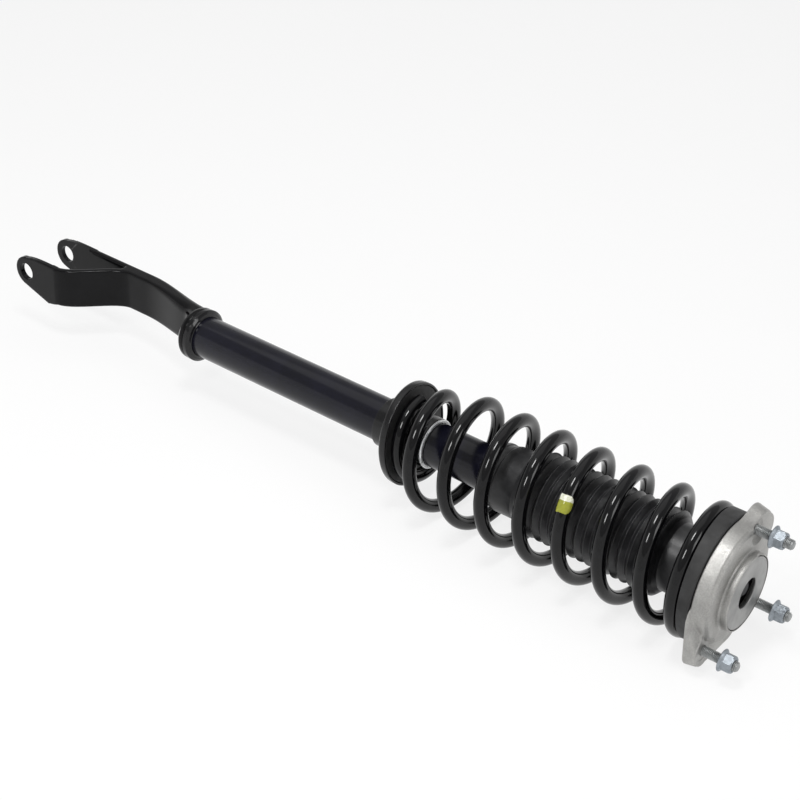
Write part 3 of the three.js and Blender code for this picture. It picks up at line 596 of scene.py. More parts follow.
class Bench:
    """Makes pieces from shells, paints them and sets them on the bodies they ride on."""

    palette: Palette

    def __init__(self, stations: Stations) -> None:
        """Finds the bolt axis from the damper tube.

        Args:
            stations: Where things stand along the strut.
        """
        low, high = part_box("strut_tube")
        start = low.x - stations.tube_start * MM
        self.origin = Vector((start, (low.y + high.y) / 2, (low.z + high.z) / 2))
        self.stations = stations
        self.worn: dict[str, bpy.types.Material] = {}

    def at(self, x: float, y: float = 0.0, z: float = 0.0) -> Vector:
        """A point of the strut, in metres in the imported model's frame."""
        return self.origin + Vector((x, y, z)) * MM

    def body(self, name: str, shell: Shell, crease: float = CREASE) -> bpy.types.Object:
        """Makes an object of a shell.

        Args:
            name: The object's name.
            shell: Its points and faces.
            crease: The least angle, in degrees, that stays a sharp edge.

        Returns:
            The object.
        """
        mesh = bpy.data.meshes.new(name)
        points = shell.points * MM + np.array(self.origin)
        mesh.from_pydata(points.tolist(), [], shell.faces)
        work = bmesh.new()
        work.from_mesh(mesh)
        bmesh.ops.remove_doubles(work, verts=work.verts, dist=WELD)
        bmesh.ops.dissolve_degenerate(work, edges=work.edges, dist=SLIVER)
        bmesh.ops.recalc_face_normals(work, faces=work.faces)
        work.to_mesh(mesh)
        work.free()
        made = bpy.data.objects.new(name, mesh)
        bpy.context.scene.collection.objects.link(made)
        self.polish(made, crease)
        return made

    @staticmethod
    def polish(made: bpy.types.Object, crease: float = CREASE) -> None:
        """Shades an object smoothly up to the crease angle."""
        made.data.shade_smooth()
        made.data.set_sharp_from_angle(angle=math.radians(crease))

    def settle(self, made: bpy.types.Object) -> None:
        """Applies an object's modifiers.

        Args:
            made: The object, changed in place.
        """
        graph = bpy.context.evaluated_depsgraph_get()
        old = made.data
        made.data = bpy.data.meshes.new_from_object(made.evaluated_get(graph))
        made.modifiers.clear()
        bpy.data.meshes.remove(old)
        self.polish(made)

    def melt(self, made: bpy.types.Object, voxel: float, rounds: int) -> None:
        """Fuses overlapping shells into one skin and softens where they meet.

        Args:
            made: The object, changed in place.
            voxel: The skin's cell, in millimetres.
            rounds: Rounds of smoothing.
        """
        skin = made.modifiers.new("skin", "REMESH")
        skin.mode, skin.voxel_size = "VOXEL", voxel * MM
        soft = made.modifiers.new("soft", "SMOOTH")
        soft.factor, soft.iterations = 0.5, rounds
        self.settle(made)

    def cut(self, made: bpy.types.Object, tools: Iterable[Shell]) -> None:
        """Cuts shells out of an object.

        Args:
            made: The object, changed in place.
            tools: The shells to take away.
        """
        cutters = [self.body("cutter", tool) for tool in tools]
        for cutter in cutters:
            bite = made.modifiers.new("bite", "BOOLEAN")
            bite.operation, bite.solver, bite.object = "DIFFERENCE", "EXACT", cutter
        self.settle(made)
        for cutter in cutters:
            mesh = cutter.data
            bpy.data.objects.remove(cutter)
            bpy.data.meshes.remove(mesh)

    def paint(self, made: bpy.types.Object, finish: Finish) -> None:
        """Gives an object one finish all over, and reports it.

        Args:
            made: The object.
            finish: What it is finished in.
        """
        if finish.name not in self.worn:
            self.worn[finish.name] = finish.material()
        made.data.materials.clear()
        made.data.materials.append(self.worn[finish.name])
        LOG.info("%s: %d faces, finished in %s", made.name, len(made.data.polygons), finish.name)

    def fit(self, made: bpy.types.Object, body: Body, finish: Finish, node: str) -> bpy.types.Object:
        """Paints a piece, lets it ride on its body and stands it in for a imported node.

        Args:
            made: The piece.
            body: The body it moves with.
            finish: What it is finished in.
            node: The node that it stands for.

        Returns:
            The piece.
        """
        self.paint(made, finish)
        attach(made, body.value)
        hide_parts(node)
        return made

    def piece(
        self, name: str, shell: Shell, body: Body, finish: Finish, node: str, crease: float = CREASE
    ) -> bpy.types.Object:
        """Makes an object of a shell and fits it."""
        return self.fit(self.body(name, shell, crease), body, finish, node)

    def yields(self, made: bpy.types.Object, anchor: float, length: float) -> None:
        """Gives a piece a mesh of its own.

        Args:
            made: The piece.
            anchor: The station that stays; not used.
            length: The length over which the whole stroke is taken up; not used.
        """
        keep = (length - self.stations.stroke) / length
        tuple(self.at(anchor))
        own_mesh(made)


# ---- The strut ----


@dataclass
class Fork:
    """The forged fork that grips the suspension arm, and the collar on its socket."""

    reach: float = 240.0
    ear_gap: float = 57.0
    ear: float = 6.0
    arm: float = 8.0
    bolt_hole: float = 20.0
    bolt_chamfer: float = 0.7
    bolt_lift: float = 1.5
    tip: float = 17.8
    ear_reach: float = 46.0
    ear_root: float = 14.0
    ear_crown: float = 22.5
    corner_station: float = 35.0
    corner_depth: float = 28.0
    arm_top: float = 22.0
    arm_bottom: float = 25.0
    edge: float = 2.6
    crank: float = 72.0
    blade: float = 16.5
    blade_length: float = 24.0
    blade_root: float = 16.0
    neck: float = 22.0
    neck_shift: float = 13.0
    neck_rise: float = 2.0
    neck_edge: float = 10.0
    neck_flare: float = 12.0
    socket: float = 29.5
    socket_length: float = 9.0
    socket_floor: float = 6.0
    bore: float = 23.3
    collar: float = 29.8
    collar_length: float = 8.0
    collar_lip: float = 24.4
    collar_sides: int = 120
    voxel: float = 1.0
    softening: int = 5

    @property
    def outer(self) -> float:
        """Half the width over the arms."""
        return self.ear_gap / 2 + self.ear

    def section(
        self, x: float, y: float, lean: float, half: float, top: float, edge: float
    ) -> list[Trio]:
        """One cross-section of an arm, with round corners.

        Args:
            x: The station of its middle.
            y: The y of its middle.
            lean: How far the arm runs sideways there, per millimetre along.
            half: Half its thickness.
            top: Its upper edge.
            edge: The rounding of its corners.

        Returns:
            Its points.
        """
        bottom = -self.arm_bottom
        across = Vector((-lean, 1.0)).normalized()
        r = min(edge, half * 0.98)
        corners = ((half - r, bottom, r, -90), (half - r, top, -r, 0))
        corners += ((r - half, top, -r, 90), (r - half, bottom, r, 180))
        ring = []
        for side, level, inset, start in corners:
            for k in range(6):
                a = math.radians(start + 18 * k)
                s = side + r * math.cos(a)
                ring.append((x + across.x * s, y + across.y * s, level + inset + r * math.sin(a)))
        return ring

    def near_arm(self) -> Shell:
        """The arm that cranks over from its ear to the blade.

        Returns:
            The arm.
        """
        first = -self.outer + self.arm / 2
        last = self.outer - self.blade + self.arm / 2

        def sideways(x: float) -> float:
            """The arm's middle at a station."""
            share = min(max((x - self.ear_reach) / self.crank, 0.0), 1.0)
            return mix(first, last, (1 - math.cos(math.pi * share)) / 2)

        rows = []
        for x in np.linspace(self.corner_station, self.ear_reach + self.crank, 40):
            lean = sideways(x + 0.5) - sideways(x - 0.5)
            rows.append(self.section(x, sideways(x), lean, self.arm / 2, self.arm_top, self.edge))
        return Shell.over(rows)

    def far_arm(self) -> Shell:
        """The straight arm.

        Returns:
            The arm.
        """
        half, rows = self.arm / 2, []
        for x in (self.corner_station, self.ear_reach + self.crank):
            rows.append(self.section(x, self.outer - half, 0, half, self.arm_top, self.edge))
        return Shell.over(rows)

    def ear_plate(self, middle: float) -> Shell:
        """One ear: a round tip about the bolt axis that widens into its arm.

        Args:
            middle: The y of the plate's middle.

        Returns:
            The plate.
        """
        lift = self.bolt_lift
        root = self.corner_station + self.ear_root
        corner = Vector((self.corner_station, -self.corner_depth - lift))
        down = math.atan2(corner.y, corner.x) - math.acos(self.tip / corner.length)
        side = []
        for k in range(25):
            a = mix(math.pi / 2, down + FULL, k / 24)
            side.append((self.tip * math.cos(a), self.tip * math.sin(a)))
        side += [(corner.x, corner.y), (root, -self.arm_bottom - lift), (root, self.arm_top - lift)]
        start, end = Vector((0, self.tip)), Vector((root, self.arm_top - lift))
        crown = Vector((self.tip * 0.8, self.ear_crown - lift + 1))
        for k in range(11, 0, -1):
            s = k / 12
            bend = start * (1 - s) ** 2 + crown * (2 * s * (1 - s)) + end * s**2
            side.append((bend.x, bend.y))
        faces = (middle - self.arm / 2, middle + self.arm / 2)
        return Shell.over([[(x, y, z + lift) for x, z in side] for y in faces])

    def neck_blade(self) -> Shell:
        """The blade and the neck that thickens into the socket.

        Returns:
            Both as one bar.
        """
        root = self.ear_reach + self.crank
        start, end = root + self.blade_length, self.reach + 4
        rows = []
        for x in [root - self.blade_root, root, *np.linspace(start, end, 26)]:
            t = (x - start) / (end - start)
            flare = self.neck_flare * ease((t - 0.72) / 0.28) ** 2
            far = self.outer - self.neck_shift * ease(t)
            near = far - mix(self.blade, self.neck, ease(t)) - flare
            top, edge = self.arm_top + self.neck_rise * ease(t), mix(self.edge, self.neck_edge, ease(t))
            rows.append(self.section(x, (near + far) / 2, 0, (far - near) / 2, top, edge))
        return Shell.over(rows)

    def across(self, radius: float, half: float, flare: float = 0.0, spare: float = 3.0) -> Shell:
        """A round tool along the bolt axis.

        Args:
            radius: Its radius.
            half: Half its length.
            flare: How far its ends widen, for a chamfer.
            spare: How far it goes on past each end.

        Returns:
            The tool.
        """
        end, wide = half + spare, radius + flare
        outline = [(-end, 0, 0), (-end, wide, 0), (-half, wide, 0), (-half + flare, radius, 0)]
        outline += [(half - flare, radius, 0), (half, wide, 0), (end, wide, 0), (end, 0, 0)]
        pin = Shell.turned(outline, 72)
        return Shell(pin.points[:, [1, 0, 2]], pin.faces).moved(z=self.bolt_lift)

    def build(self, bench: Bench) -> None:
        """Makes the yoke and the collar.

        Args:
            bench: Where they are made.
        """
        end, wide = self.reach + self.socket_length, self.socket
        socket = Shell.turned(
            [(self.reach - 4, 0, 0), (self.reach - 4, wide - 11, 0), (self.reach - 1.5, wide - 4, 3)]
            + [(self.reach + 3.0, wide, 2.5), (end, wide, 1.0), (end, 0, 0)]
        )
        middle = self.outer - self.arm / 2
        parts = self.near_arm() + self.far_arm() + self.ear_plate(-middle) + self.ear_plate(middle)
        yoke = bench.body("fork_yoke_forging", parts + self.neck_blade() + socket)
        bench.melt(yoke, self.voxel, self.softening)
        bore = Shell.drill(self.reach + self.socket_floor, end + 5, self.bore, 96)
        pocket = self.across(self.ear_reach, self.ear_gap / 2 - 1e-3, spare=1e-3)
        bench.cut(yoke, [pocket, self.across(self.bolt_hole / 2, self.outer, self.bolt_chamfer), bore])
        bench.fit(yoke, Body.DAMPER, bench.palette.fork, "fork_yoke")

        start, wide, lip = end + GAP, self.collar, self.collar_lip
        stop = start + self.collar_length
        outline = [(start, self.bore, 0), (start, wide, 0.5), (stop - 3.2, wide, 1.2)]
        outline += [(stop - 1.2, wide - 3.0, 0.9), (stop - 0.5, lip, 0.5), (stop, lip - 0.7, 0.3)]
        ring = Shell.turned([*outline, (stop, self.bore, 0)], self.collar_sides)
        bench.piece("fork_collar_ring", ring, Body.DAMPER, bench.palette.collar, "fork_collar")


@dataclass
class LowerSeat:
    """The damper tube and the leaning dish that carries the spring's lower end."""

    tube: float = 23.0
    wall: float = 2.5
    dish: float = 53.5
    sheet: float = 2.4
    lip: float = 7.0
    pad: float = 6.0
    hub_wall: float = 3.0
    hub_below: float = 28.0
    hub_above: float = 26.0
    sides: int = 128
    ring: float = 2.2
    ring_edge: float = 0.9
    ring_sides: int = 120
    lean_up: float = 6.0
    lean_aside: float = 4.0

    def lean_at(self, y: np.ndarray, z: np.ndarray) -> np.ndarray:
        """How far the leaning dish stands forward of its middle."""
        return -z * math.tan(math.radians(self.lean_up)) - y * math.tan(math.radians(self.lean_aside))

    def leaned(self, shell: Shell, low: float, high: float) -> Shell:
        """Leans what lies between two stations.

        Args:
            shell: The upright shell.
            low: The station above which it leans.
            high: The station below which it leans.

        Returns:
            The leaning shell.
        """
        x, y, z = shell.points.T
        shift = np.where((x > low) & (x < high), self.lean_at(y, z), 0.0)
        return Shell(np.column_stack([x + shift, y, z]), shell.faces)

    def build(self, bench: Bench) -> None:
        """Makes the tube, the dish, its pad and the locating ring.

        Args:
            bench: Where they are made.
        """
        at, palette = bench.stations, bench.palette
        bore, low, high = self.tube - self.wall, at.tube_start, at.tube_top
        tube = [(low, bore, 0), (low, self.tube, 0.8), (high, self.tube, 0.8), (high, bore, 0)]
        bench.piece("damper_tube", Shell.turned(tube, self.sides), Body.DAMPER, palette.tube, "strut_tube")

        inner = self.tube + GAP
        hub = inner + self.hub_wall
        face = at.seat_face - self.pad - GAP
        back, top, low = face - self.sheet, face + self.lip, face - self.hub_below
        hub_end, lining = at.seat_face + self.hub_above, self.dish - self.sheet
        dish = [(low, inner, 0), (low, hub, 0.9), (back - 7, hub, 5), (back - 1, hub + 4, 3)]
        dish += [(back, hub + 9, 2), (back, self.dish, 4.5), (top, self.dish, 1.1), (top, lining, 1.1)]
        dish += [(face, lining, 3), (face, hub, 1.2), (hub_end, hub, 0.5), (hub_end, inner, 0)]
        seat = self.leaned(Shell.turned(dish, self.sides), back - 8, top + 1)
        bench.piece("spring_dish", seat, Body.DAMPER, palette.seat, "lower_spring_seat")

        rim, face, top = lining - GAP, face + GAP, at.seat_face
        pad = [(face, hub + GAP, 0), (face, rim, 3.2), (top, rim - 0.2, 1.2), (top, hub + 6, 2.5)]
        pad += [(top + 7, hub + 2.5, 1), (top + 8, hub + GAP, 0)]
        cushion = self.leaned(Shell.turned(pad, self.sides), face - GAP, top + 9)
        bench.piece("spring_dish_pad", cushion, Body.DAMPER, palette.rubber, "lower_spring_pad")

        start, edge = hub_end + GAP, self.ring_edge
        stop = start + self.ring
        ring = [(start, inner, 0), (start, hub, 0.5), (stop - edge, hub, 0.3), (stop, hub - edge, 0.3)]
        ring = Shell.turned([*ring, (stop, inner, 0)], self.ring_sides)
        bench.piece("dish_ring", ring, Body.DAMPER, palette.alloy, "seat_locating_ring")


@dataclass
class CoilSpring:
    """The coil spring, wound right-handed, with a narrow tail at its lower end."""

    at: Stations
    seat: LowerSeat
    wire: float = 14.0
    bevel: float = 0.9
    radius: float = 59.0
    tail: float = 39.0
    turns: float = 8.6
    lower_closed: float = 0.216
    upper_closed: float = 0.213
    ramp: float = 0.7
    tail_turns: float = 1.284
    tail_ease: float = 1.15
    lean_turns: float = 0.4
    lean_fade: float = 0.9
    start_angle: float = -6.4
    sides: int = 28
    rings_per_turn: int = 64
    daub_turn: float = 5.16

    @property
    def high(self) -> float:
        """The station of the wire's middle where it lies flat on the isolator."""
        return self.at.isolator_face - self.wire / 2 - GAP

    def climbed(self, turn: float) -> float:
        """Full-pitch turns climbed after so many turns from an end.

        Args:
            turn: The turns wound.

        Returns:
            The turns climbed.
        """
        if turn <= self.lower_closed:
            return 0.0
        if turn <= self.lower_closed + self.ramp:
            return (turn - self.lower_closed) ** 2 / (2 * self.ramp)
        return turn - self.lower_closed - self.ramp / 2

    def point(self, turn: float) -> Vector:
        """The wire's middle.

        Args:
            turn: The turns from its lower end.

        Returns:
            The point.
        """
        low = self.at.seat_face + self.wire / 2 + GAP
        whole = self.turns - self.lower_closed - self.upper_closed - self.ramp
        left = self.climbed(self.turns - turn - self.upper_closed + self.lower_closed)
        share = self.climbed(turn) / whole if turn < self.turns / 2 else 1 - left / whole
        widening = max(0.0, (turn - self.lower_closed) / self.tail_turns) ** self.tail_ease
        radius = mix(self.tail, self.radius, ease(widening))
        angle = math.radians(self.start_angle + 360 * turn)
        y, z = -radius * math.sin(angle), radius * math.cos(angle)
        fade = 1 - ease((turn - self.lean_turns) / self.lean_fade)
        return Vector((mix(low, self.high, share) + float(self.seat.lean_at(y, z)) * fade, y, z))

    def tangent(self, turn: float) -> Vector:
        """The wire's direction at a turn."""
        return (self.point(turn + 0.01) - self.point(turn - 0.01)).normalized()

    def build(self, bench: Bench) -> None:
        """Winds the spring.

        Args:
            bench: Where it is made.
        """
        count, half = round(self.turns * self.rings_per_turn), self.wire / 2
        stops = [(self.turns * k / count, half) for k in range(count + 1)]
        trim = self.bevel / (FULL * self.tail)
        stops[0], stops[-1] = (trim, half), (self.turns - trim, half)
        stops = [(0.0, half - self.bevel), *stops, (self.turns, half - self.bevel)]
        angles = [FULL * k / self.sides for k in range(self.sides)]
        rows = []
        for turn, radius in stops:
            middle, along = self.point(turn), self.tangent(turn)
            up = along.cross(Vector((0, middle.y, middle.z))).normalized()
            out = up.cross(along).normalized()
            rows.append([middle + out * (radius * math.cos(a)) + up * (radius * math.sin(a)) for a in angles])
        finish, face = bench.palette.spring, self.at.seat_face
        coil = bench.piece("coil_spring_wire", Shell.over(rows), Body.DAMPER, finish, "coil_spring")
        bench.yields(coil, face, self.at.isolator_face - face)


@dataclass
class DustBoot:
    """The pleated boot: a cuff on the damper, the pleats, and a smooth cuff under the isolator."""

    cuff: float = 33.0
    cuff_below: float = 39.0
    band: float = 1.2
    groove: float = 0.9
    wall: float = 2.0
    ribs: int = 16
    rib: float = 42.8
    valley: float = 37.6
    first_rib: float = 6.0
    upper_cuff: float = 38.3
    upper_rise: float = 3.0
    upper: float = 33.8
    cap: float = 29.2
    crest_round: float = 0.8
    valley_round: float = 0.6
    sides: int = 112

    def build(self, bench: Bench) -> None:
        """Makes the boot in three pieces.

        Args:
            bench: Where they are made.
        """
        at, finish = bench.stations, bench.palette.boot
        low, tube, wide = at.tube_top - self.cuff_below, at.tube_top, self.cuff
        first = tube + self.first_rib
        rise = at.isolator_face - self.upper_cuff
        last, top = rise - self.upper_rise, at.isolator_face - 3
        thin, groove, band = self.valley - self.wall, wide - self.groove, wide + self.band
        cuff = [(low, self.cap, 0.3), (low, wide, 1.0), (low + 4.2, wide, 0.6), (low + 4.8, groove, 0.5)]
        cuff += [(low + 9.2, groove, 0.5), (low + 9.8, wide, 0.6), (low + 12.4, wide, 0.8)]
        cuff += [(low + 14.0, band, 1.0), (tube - 2, band, 1.5), (first, self.valley, 0.6)]
        cuff += [(first, thin, 0), (tube + 5.3, self.cap, 0), (tube + 4.6, self.cap, 0)]
        bench.piece("boot_lower_cuff", Shell.turned(cuff, self.sides), Body.DAMPER, finish, "dust_boot")

        pitch = (last - first) / self.ribs
        outside, inside = [(first, self.valley, 0.0)], [(first, thin, 0.0)]
        for k in range(self.ribs):
            crest, valley = first + pitch * (k + 0.5), first + pitch * (k + 1)
            soft = 0.0 if k == self.ribs - 1 else self.valley_round
            outside += [(crest, self.rib, self.crest_round), (valley, self.valley, soft)]
            inside += [(crest, self.rib - self.wall, 0.0), (valley, thin, 0.0)]
        shell = Shell.turned([*outside, *reversed(inside)], self.sides)
        pleats = bench.piece("boot_pleats", shell, Body.DAMPER, finish, "dust_boot", crease=60)
        bench.yields(pleats, first, last - first)

        inner = self.upper - self.wall
        collar = [(last, thin, 0), (last, self.valley, 0), (rise, self.upper, 0.8)]
        collar += [(top, self.upper, 0.6), (top, inner, 0), (rise, inner, 0)]
        bench.piece("boot_upper_cuff", Shell.turned(collar, self.sides), Body.ROD, finish, "dust_boot")


@dataclass
class BumpStop:
    """The foam bump stop under the top mount, hidden by the boot."""

    radius: float = 22.0
    waist: float = 17.0
    grooves: int = 2
    bore: float = 7.3
    low: float = 805.9
    high: float = 885.7
    sides: int = 72

    def build(self, bench: Bench) -> None:
        """Makes the stop and says that it is foam.

        Args:
            bench: Where it is made.
        """
        low, wide = self.low, self.radius
        outline = [(low, self.bore, 0), (low, wide - 7, 2), (low + 3, wide - 4, 1)]
        pitch = (self.high - low - 6) / (self.grooves + 1)
        for k in range(self.grooves + 1):
            bulge = low + 4 + pitch * (k + 0.35)
            outline.append((bulge, wide - 2.5 + 2 * k / self.grooves, 6))
            if k < self.grooves:
                outline.append((bulge + pitch * 0.5, self.waist, 4))
        outline += [(self.high, wide - 0.6, 1), (self.high, self.bore, 0)]
        foam = Shell.turned(outline, self.sides)
        stop = bench.piece("bump_stop_foam", foam, Body.ROD, bench.palette.foam, "bump_stop")


@dataclass
class Isolator:
    """The rubber ring between the spring and the casting, whose seat lies on the coil's last turn."""

    spring: CoilSpring
    radius: float = 64.0
    thickness: float = 11.0
    hub: float = 30.0
    hub_inner: float = 24.6
    hub_length: float = 24.0
    seat_inner: float = 50.0
    seat_slope: float = 3.0
    edge: float = 1.2
    sunk: float = 0.6
    proud: float = 0.02
    slack: float = 0.05
    follow: float = 0.69
    follow_fade: float = 0.2
    sides: int = 144

    def fall(self, y: float, z: float) -> float:
        """How far the seat reaches down below the flat ring.

        Args:
            y: Where it is measured across the strut.
            z: Where it is measured above the strut's axis.

        Returns:
            The reach.
        """
        spring = self.spring
        turn = (math.degrees(math.atan2(-y, z)) - spring.start_angle) / 360
        from_end = (spring.turns - turn) % 1.0
        last = spring.point(spring.turns - min(from_end, self.follow))
        return (spring.high - last.x) * (1 - ease((from_end - self.follow) / self.follow_fade))

    def build(self, bench: Bench) -> None:
        """Makes the ring and the seat under it, which follows the coil's last turn.

        Args:
            bench: Where they are made.
        """
        finish, face, inner = bench.palette.rubber, bench.stations.isolator_face, self.hub_inner
        low, top = face - self.hub_length, face + self.thickness
        outline = [(low, inner, 0), (low, self.hub, 1.0), (face, self.hub, 1.0), (face, self.radius, 0)]
        ring = Shell.turned([*outline, (top, self.radius, self.edge), (top, inner, 0)], self.sides)
        bench.piece("isolator_ring", ring, Body.ROD, finish, "upper_spring_isolator")

        low, high, rim = face - self.proud, face + self.sunk, self.radius - self.slack
        outline = [(high, self.seat_inner - self.seat_slope, 0), (low, self.seat_inner, 0)]
        seat = Shell.turned([*outline, (low, rim, self.sunk), (high, rim, 0)], self.sides)
        for point in seat.points:
            if point[0] < high - 1e-6:
                point[0] -= self.fall(point[1], point[2])
        made = bench.piece("isolator_seat", seat, Body.ROD, finish, "upper_spring_isolator")
        bench.yields(made, face, face - bench.stations.seat_face)


@dataclass(frozen=True)
class StudSpot:
    """One stud: where it stands, where its lobe's middle is, and how high it and its nut stand."""

    y: float
    z: float
    lobe_y: float
    lobe_z: float
    lobe: float
    above: float
    nut_lift: float


@dataclass(frozen=True)
class Web:
    """A stretch of the casting between two round ends, drafted from its back to its front.

    An end is its middle's y and z and its radius.
    """

    back: tuple[Trio, Trio]
    front: tuple[Trio, Trio]
    sides: int = 96

    def ring(self, share: float, inset: float) -> list[tuple[float, float]]:
        """Its outline at a share of its height, as the band drawn tight round both ends.

        Args:
            share: The height, from 0 at the back to 1 at the front.
            inset: How far the outline is drawn in.

        Returns:
            Its points, in y and z.
        """
        ends = [[mix(low, high, share) for low, high in zip(*pair)] for pair in zip(self.back, self.front)]
        points = []
        for k in range(self.sides):
            y, z = math.cos(FULL * k / self.sides), math.sin(FULL * k / self.sides)
            end = max(ends, key=lambda e: e[0] * y + e[1] * z + e[2])
            points.append((end[0] + (end[2] - inset) * y, end[1] + (end[2] - inset) * z))
        return points


@dataclass
class TopMount:
    """The cast top mount with its boss, cover disc, studs and nuts."""

    webs: tuple[Web, ...] = (
        Web(((-49.5, -9.0, 18.5), (-43.0, -49.5, 18.0)), ((-38.0, -20.0, 7.0), (-47.0, -46.5, 15.5))),
        Web(((33.0, 45.3, 19.5), (42.0, 37.0, 20.0)), ((33.0, 45.3, 16.5), (41.0, 38.0, 17.0))),
        Web(((-43.0, -49.0, 16.5), (3.0, -48.0, 17.0)), ((-43.0, -49.0, 15.5), (3.0, -48.0, 17.0))),
    )
    spots: tuple[StudSpot, ...] = (
        StudSpot(20.0, 51.3, 13.0, -6.0, 20.0, 37.0, 16.5),
        StudSpot(45.9, -44.5, -3.9, 3.5, 16.3, 39.0, 22.0),
        StudSpot(-47.1, -45.6, 4.1, -4.4, 17.5, 35.5, 19.0),
    )
    disc: float = 61.5
    disc_top: float = 57.5
    brow: float = 58.0
    flat: float = 53.2
    drum_sides: int = 192
    top_shift_y: float = -3.2
    top_shift_z: float = 2.4
    fillet: float = 50.0
    fillet_spare: float = 0.02
    lobe_draft: float = 2.5
    face_edge: float = 0.8
    plate_inset: float = 1.1
    edge: float = 1.2
    voxel: float = 0.6
    softening: int = 3
    boss: float = 38.6
    boss_top: float = 38.2
    boss_drop: float = 3.0
    bush: float = 28.0
    cover: float = 36.2
    cover_sheet: float = 3.2
    cover_hole: float = 15.2
    cover_groove: float = 0.7
    pad: float = 12.6
    pad_depth: float = 4.0
    pad_sink: float = 0.5
    pad_slope: float = 2.4
    stud: float = 5.0
    stud_chamfer: float = 1.3
    head: float = 7.0
    head_height: float = 4.0
    pitch: float = 1.5
    thread_depth: float = 0.62
    thread_start: float = 9.0
    flange: float = 11.0
    flange_sheet: float = 2.6
    across: float = 15.5
    nut: float = 12.5

    def outline(self, share: float, disc_inset: float, lobe_inset: float) -> list[tuple[float, float]]:
        """The casting's outline: a disc, a lobe for each stud, and fillets tangent to both.

        Args:
            share: How far up the casting it lies, from 0 to 1.
            disc_inset: How far the disc is drawn in.
            lobe_inset: How far the lobes are drawn in.

        Returns:
            Its points, in y and z.
        """
        disc = mix(self.disc, self.disc_top, share) - disc_inset
        shift_y, shift_z = self.top_shift_y * share, self.top_shift_z * share
        around = []
        for spot in self.spots:
            y, z = spot.y + spot.lobe_y - shift_y, spot.z + spot.lobe_z - shift_z
            around.append((math.atan2(z, y), math.hypot(y, z), spot.lobe - lobe_inset))
        around.sort()
        following = around[1:] + around[:1]

        def spreads(fillet: float) -> list[float]:
            """The angle from each lobe to its fillets' middles.

            Args:
                fillet: The fillets' radius.

            Returns:
                The angles, lobe by lobe.
            """
            made = []
            for _, distance, lobe in around:
                near, far = disc + fillet, lobe + fillet
                cosine = (distance**2 + near**2 - far**2) / (2 * distance * near)
                made.append(math.acos(min(1.0, max(-1.0, cosine))))
            return made

        def crowded(fillet: float) -> bool:
            """Whether two lobes' fillets would meet.

            Args:
                fillet: The fillets' radius.

            Returns:
                True if they would.
            """
            found = spreads(fillet)
            pairs = zip(found, found[1:] + found[:1], around, following)
            spare = self.fillet_spare
            return any(a + b > (after[0] - this[0]) % FULL - spare for a, b, this, after in pairs)

        fillet = self.fillet
        while crowded(fillet) and fillet > 1:
            fillet *= 0.95
        found = spreads(fillet)
        points: list[tuple[float, float]] = []

        def arc(cy: float, cz: float, r: float, start: float, turn: float, steps: int) -> None:
            """Adds an arc without its last point.

            Args:
                cy: The y of its middle.
                cz: The z of its middle.
                r: Its radius.
                start: The angle where it starts.
                turn: How far it goes round, which may be backwards.
                steps: How many points it has.
            """
            for k in range(steps):
                a = mix(start, start + turn, k / steps)
                points.append((shift_y + cy + r * math.cos(a), shift_z + cz + r * math.sin(a)))

        reach = disc + fillet
        for this, after, spread, ahead in zip(around, following, found, found[1:] + found[:1]):
            angle, distance, lobe = this
            cy, cz = distance * math.cos(angle), distance * math.sin(angle)
            ay, az = reach * math.cos(angle - spread), reach * math.sin(angle - spread)
            by, bz = reach * math.cos(angle + spread), reach * math.sin(angle + spread)
            start, end = math.atan2(-az, -ay), math.atan2(cz - az, cy - ay)
            arc(ay, az, fillet, start, -((start - end) % FULL), 12)
            start, end = math.atan2(az - cz, ay - cy), math.atan2(bz - cz, by - cy)
            arc(cy, cz, lobe, start, (end - start) % FULL, 24)
            start, end = math.atan2(cz - bz, cy - by), math.atan2(-bz, -by)
            arc(by, bz, fillet, start, -((start - end) % FULL), 12)
            start, end = angle + spread, after[0] - ahead
            arc(0.0, 0.0, disc, start, (end - start) % FULL, 22)
        return points

    def blank(self, at: Stations) -> Shell:
        """The casting before it is fused and cut: plate, webs, drum and boss.

        Args:
            at: Where things stand along the strut.

        Returns:
            The overlapping shells.
        """
        back, top = at.mount_face, at.mount_top
        height, brow = top - back, top - self.pad_depth + self.pad_sink

        def layers(draft: float) -> list[tuple[float, float]]:
            """Stations and insets from the back up to the plate's rounded edge.

            Args:
                draft: The inset where the rounded edge starts.

            Returns:
                A station and an inset for each layer.
            """
            made = [(back, self.face_edge), (back + self.face_edge, 0.0)]
            for k in range(5):
                a = math.radians(22.5 * k)
                made.append((brow - self.edge * (1 - math.sin(a)), draft + self.edge * (1 - math.cos(a))))
            return made

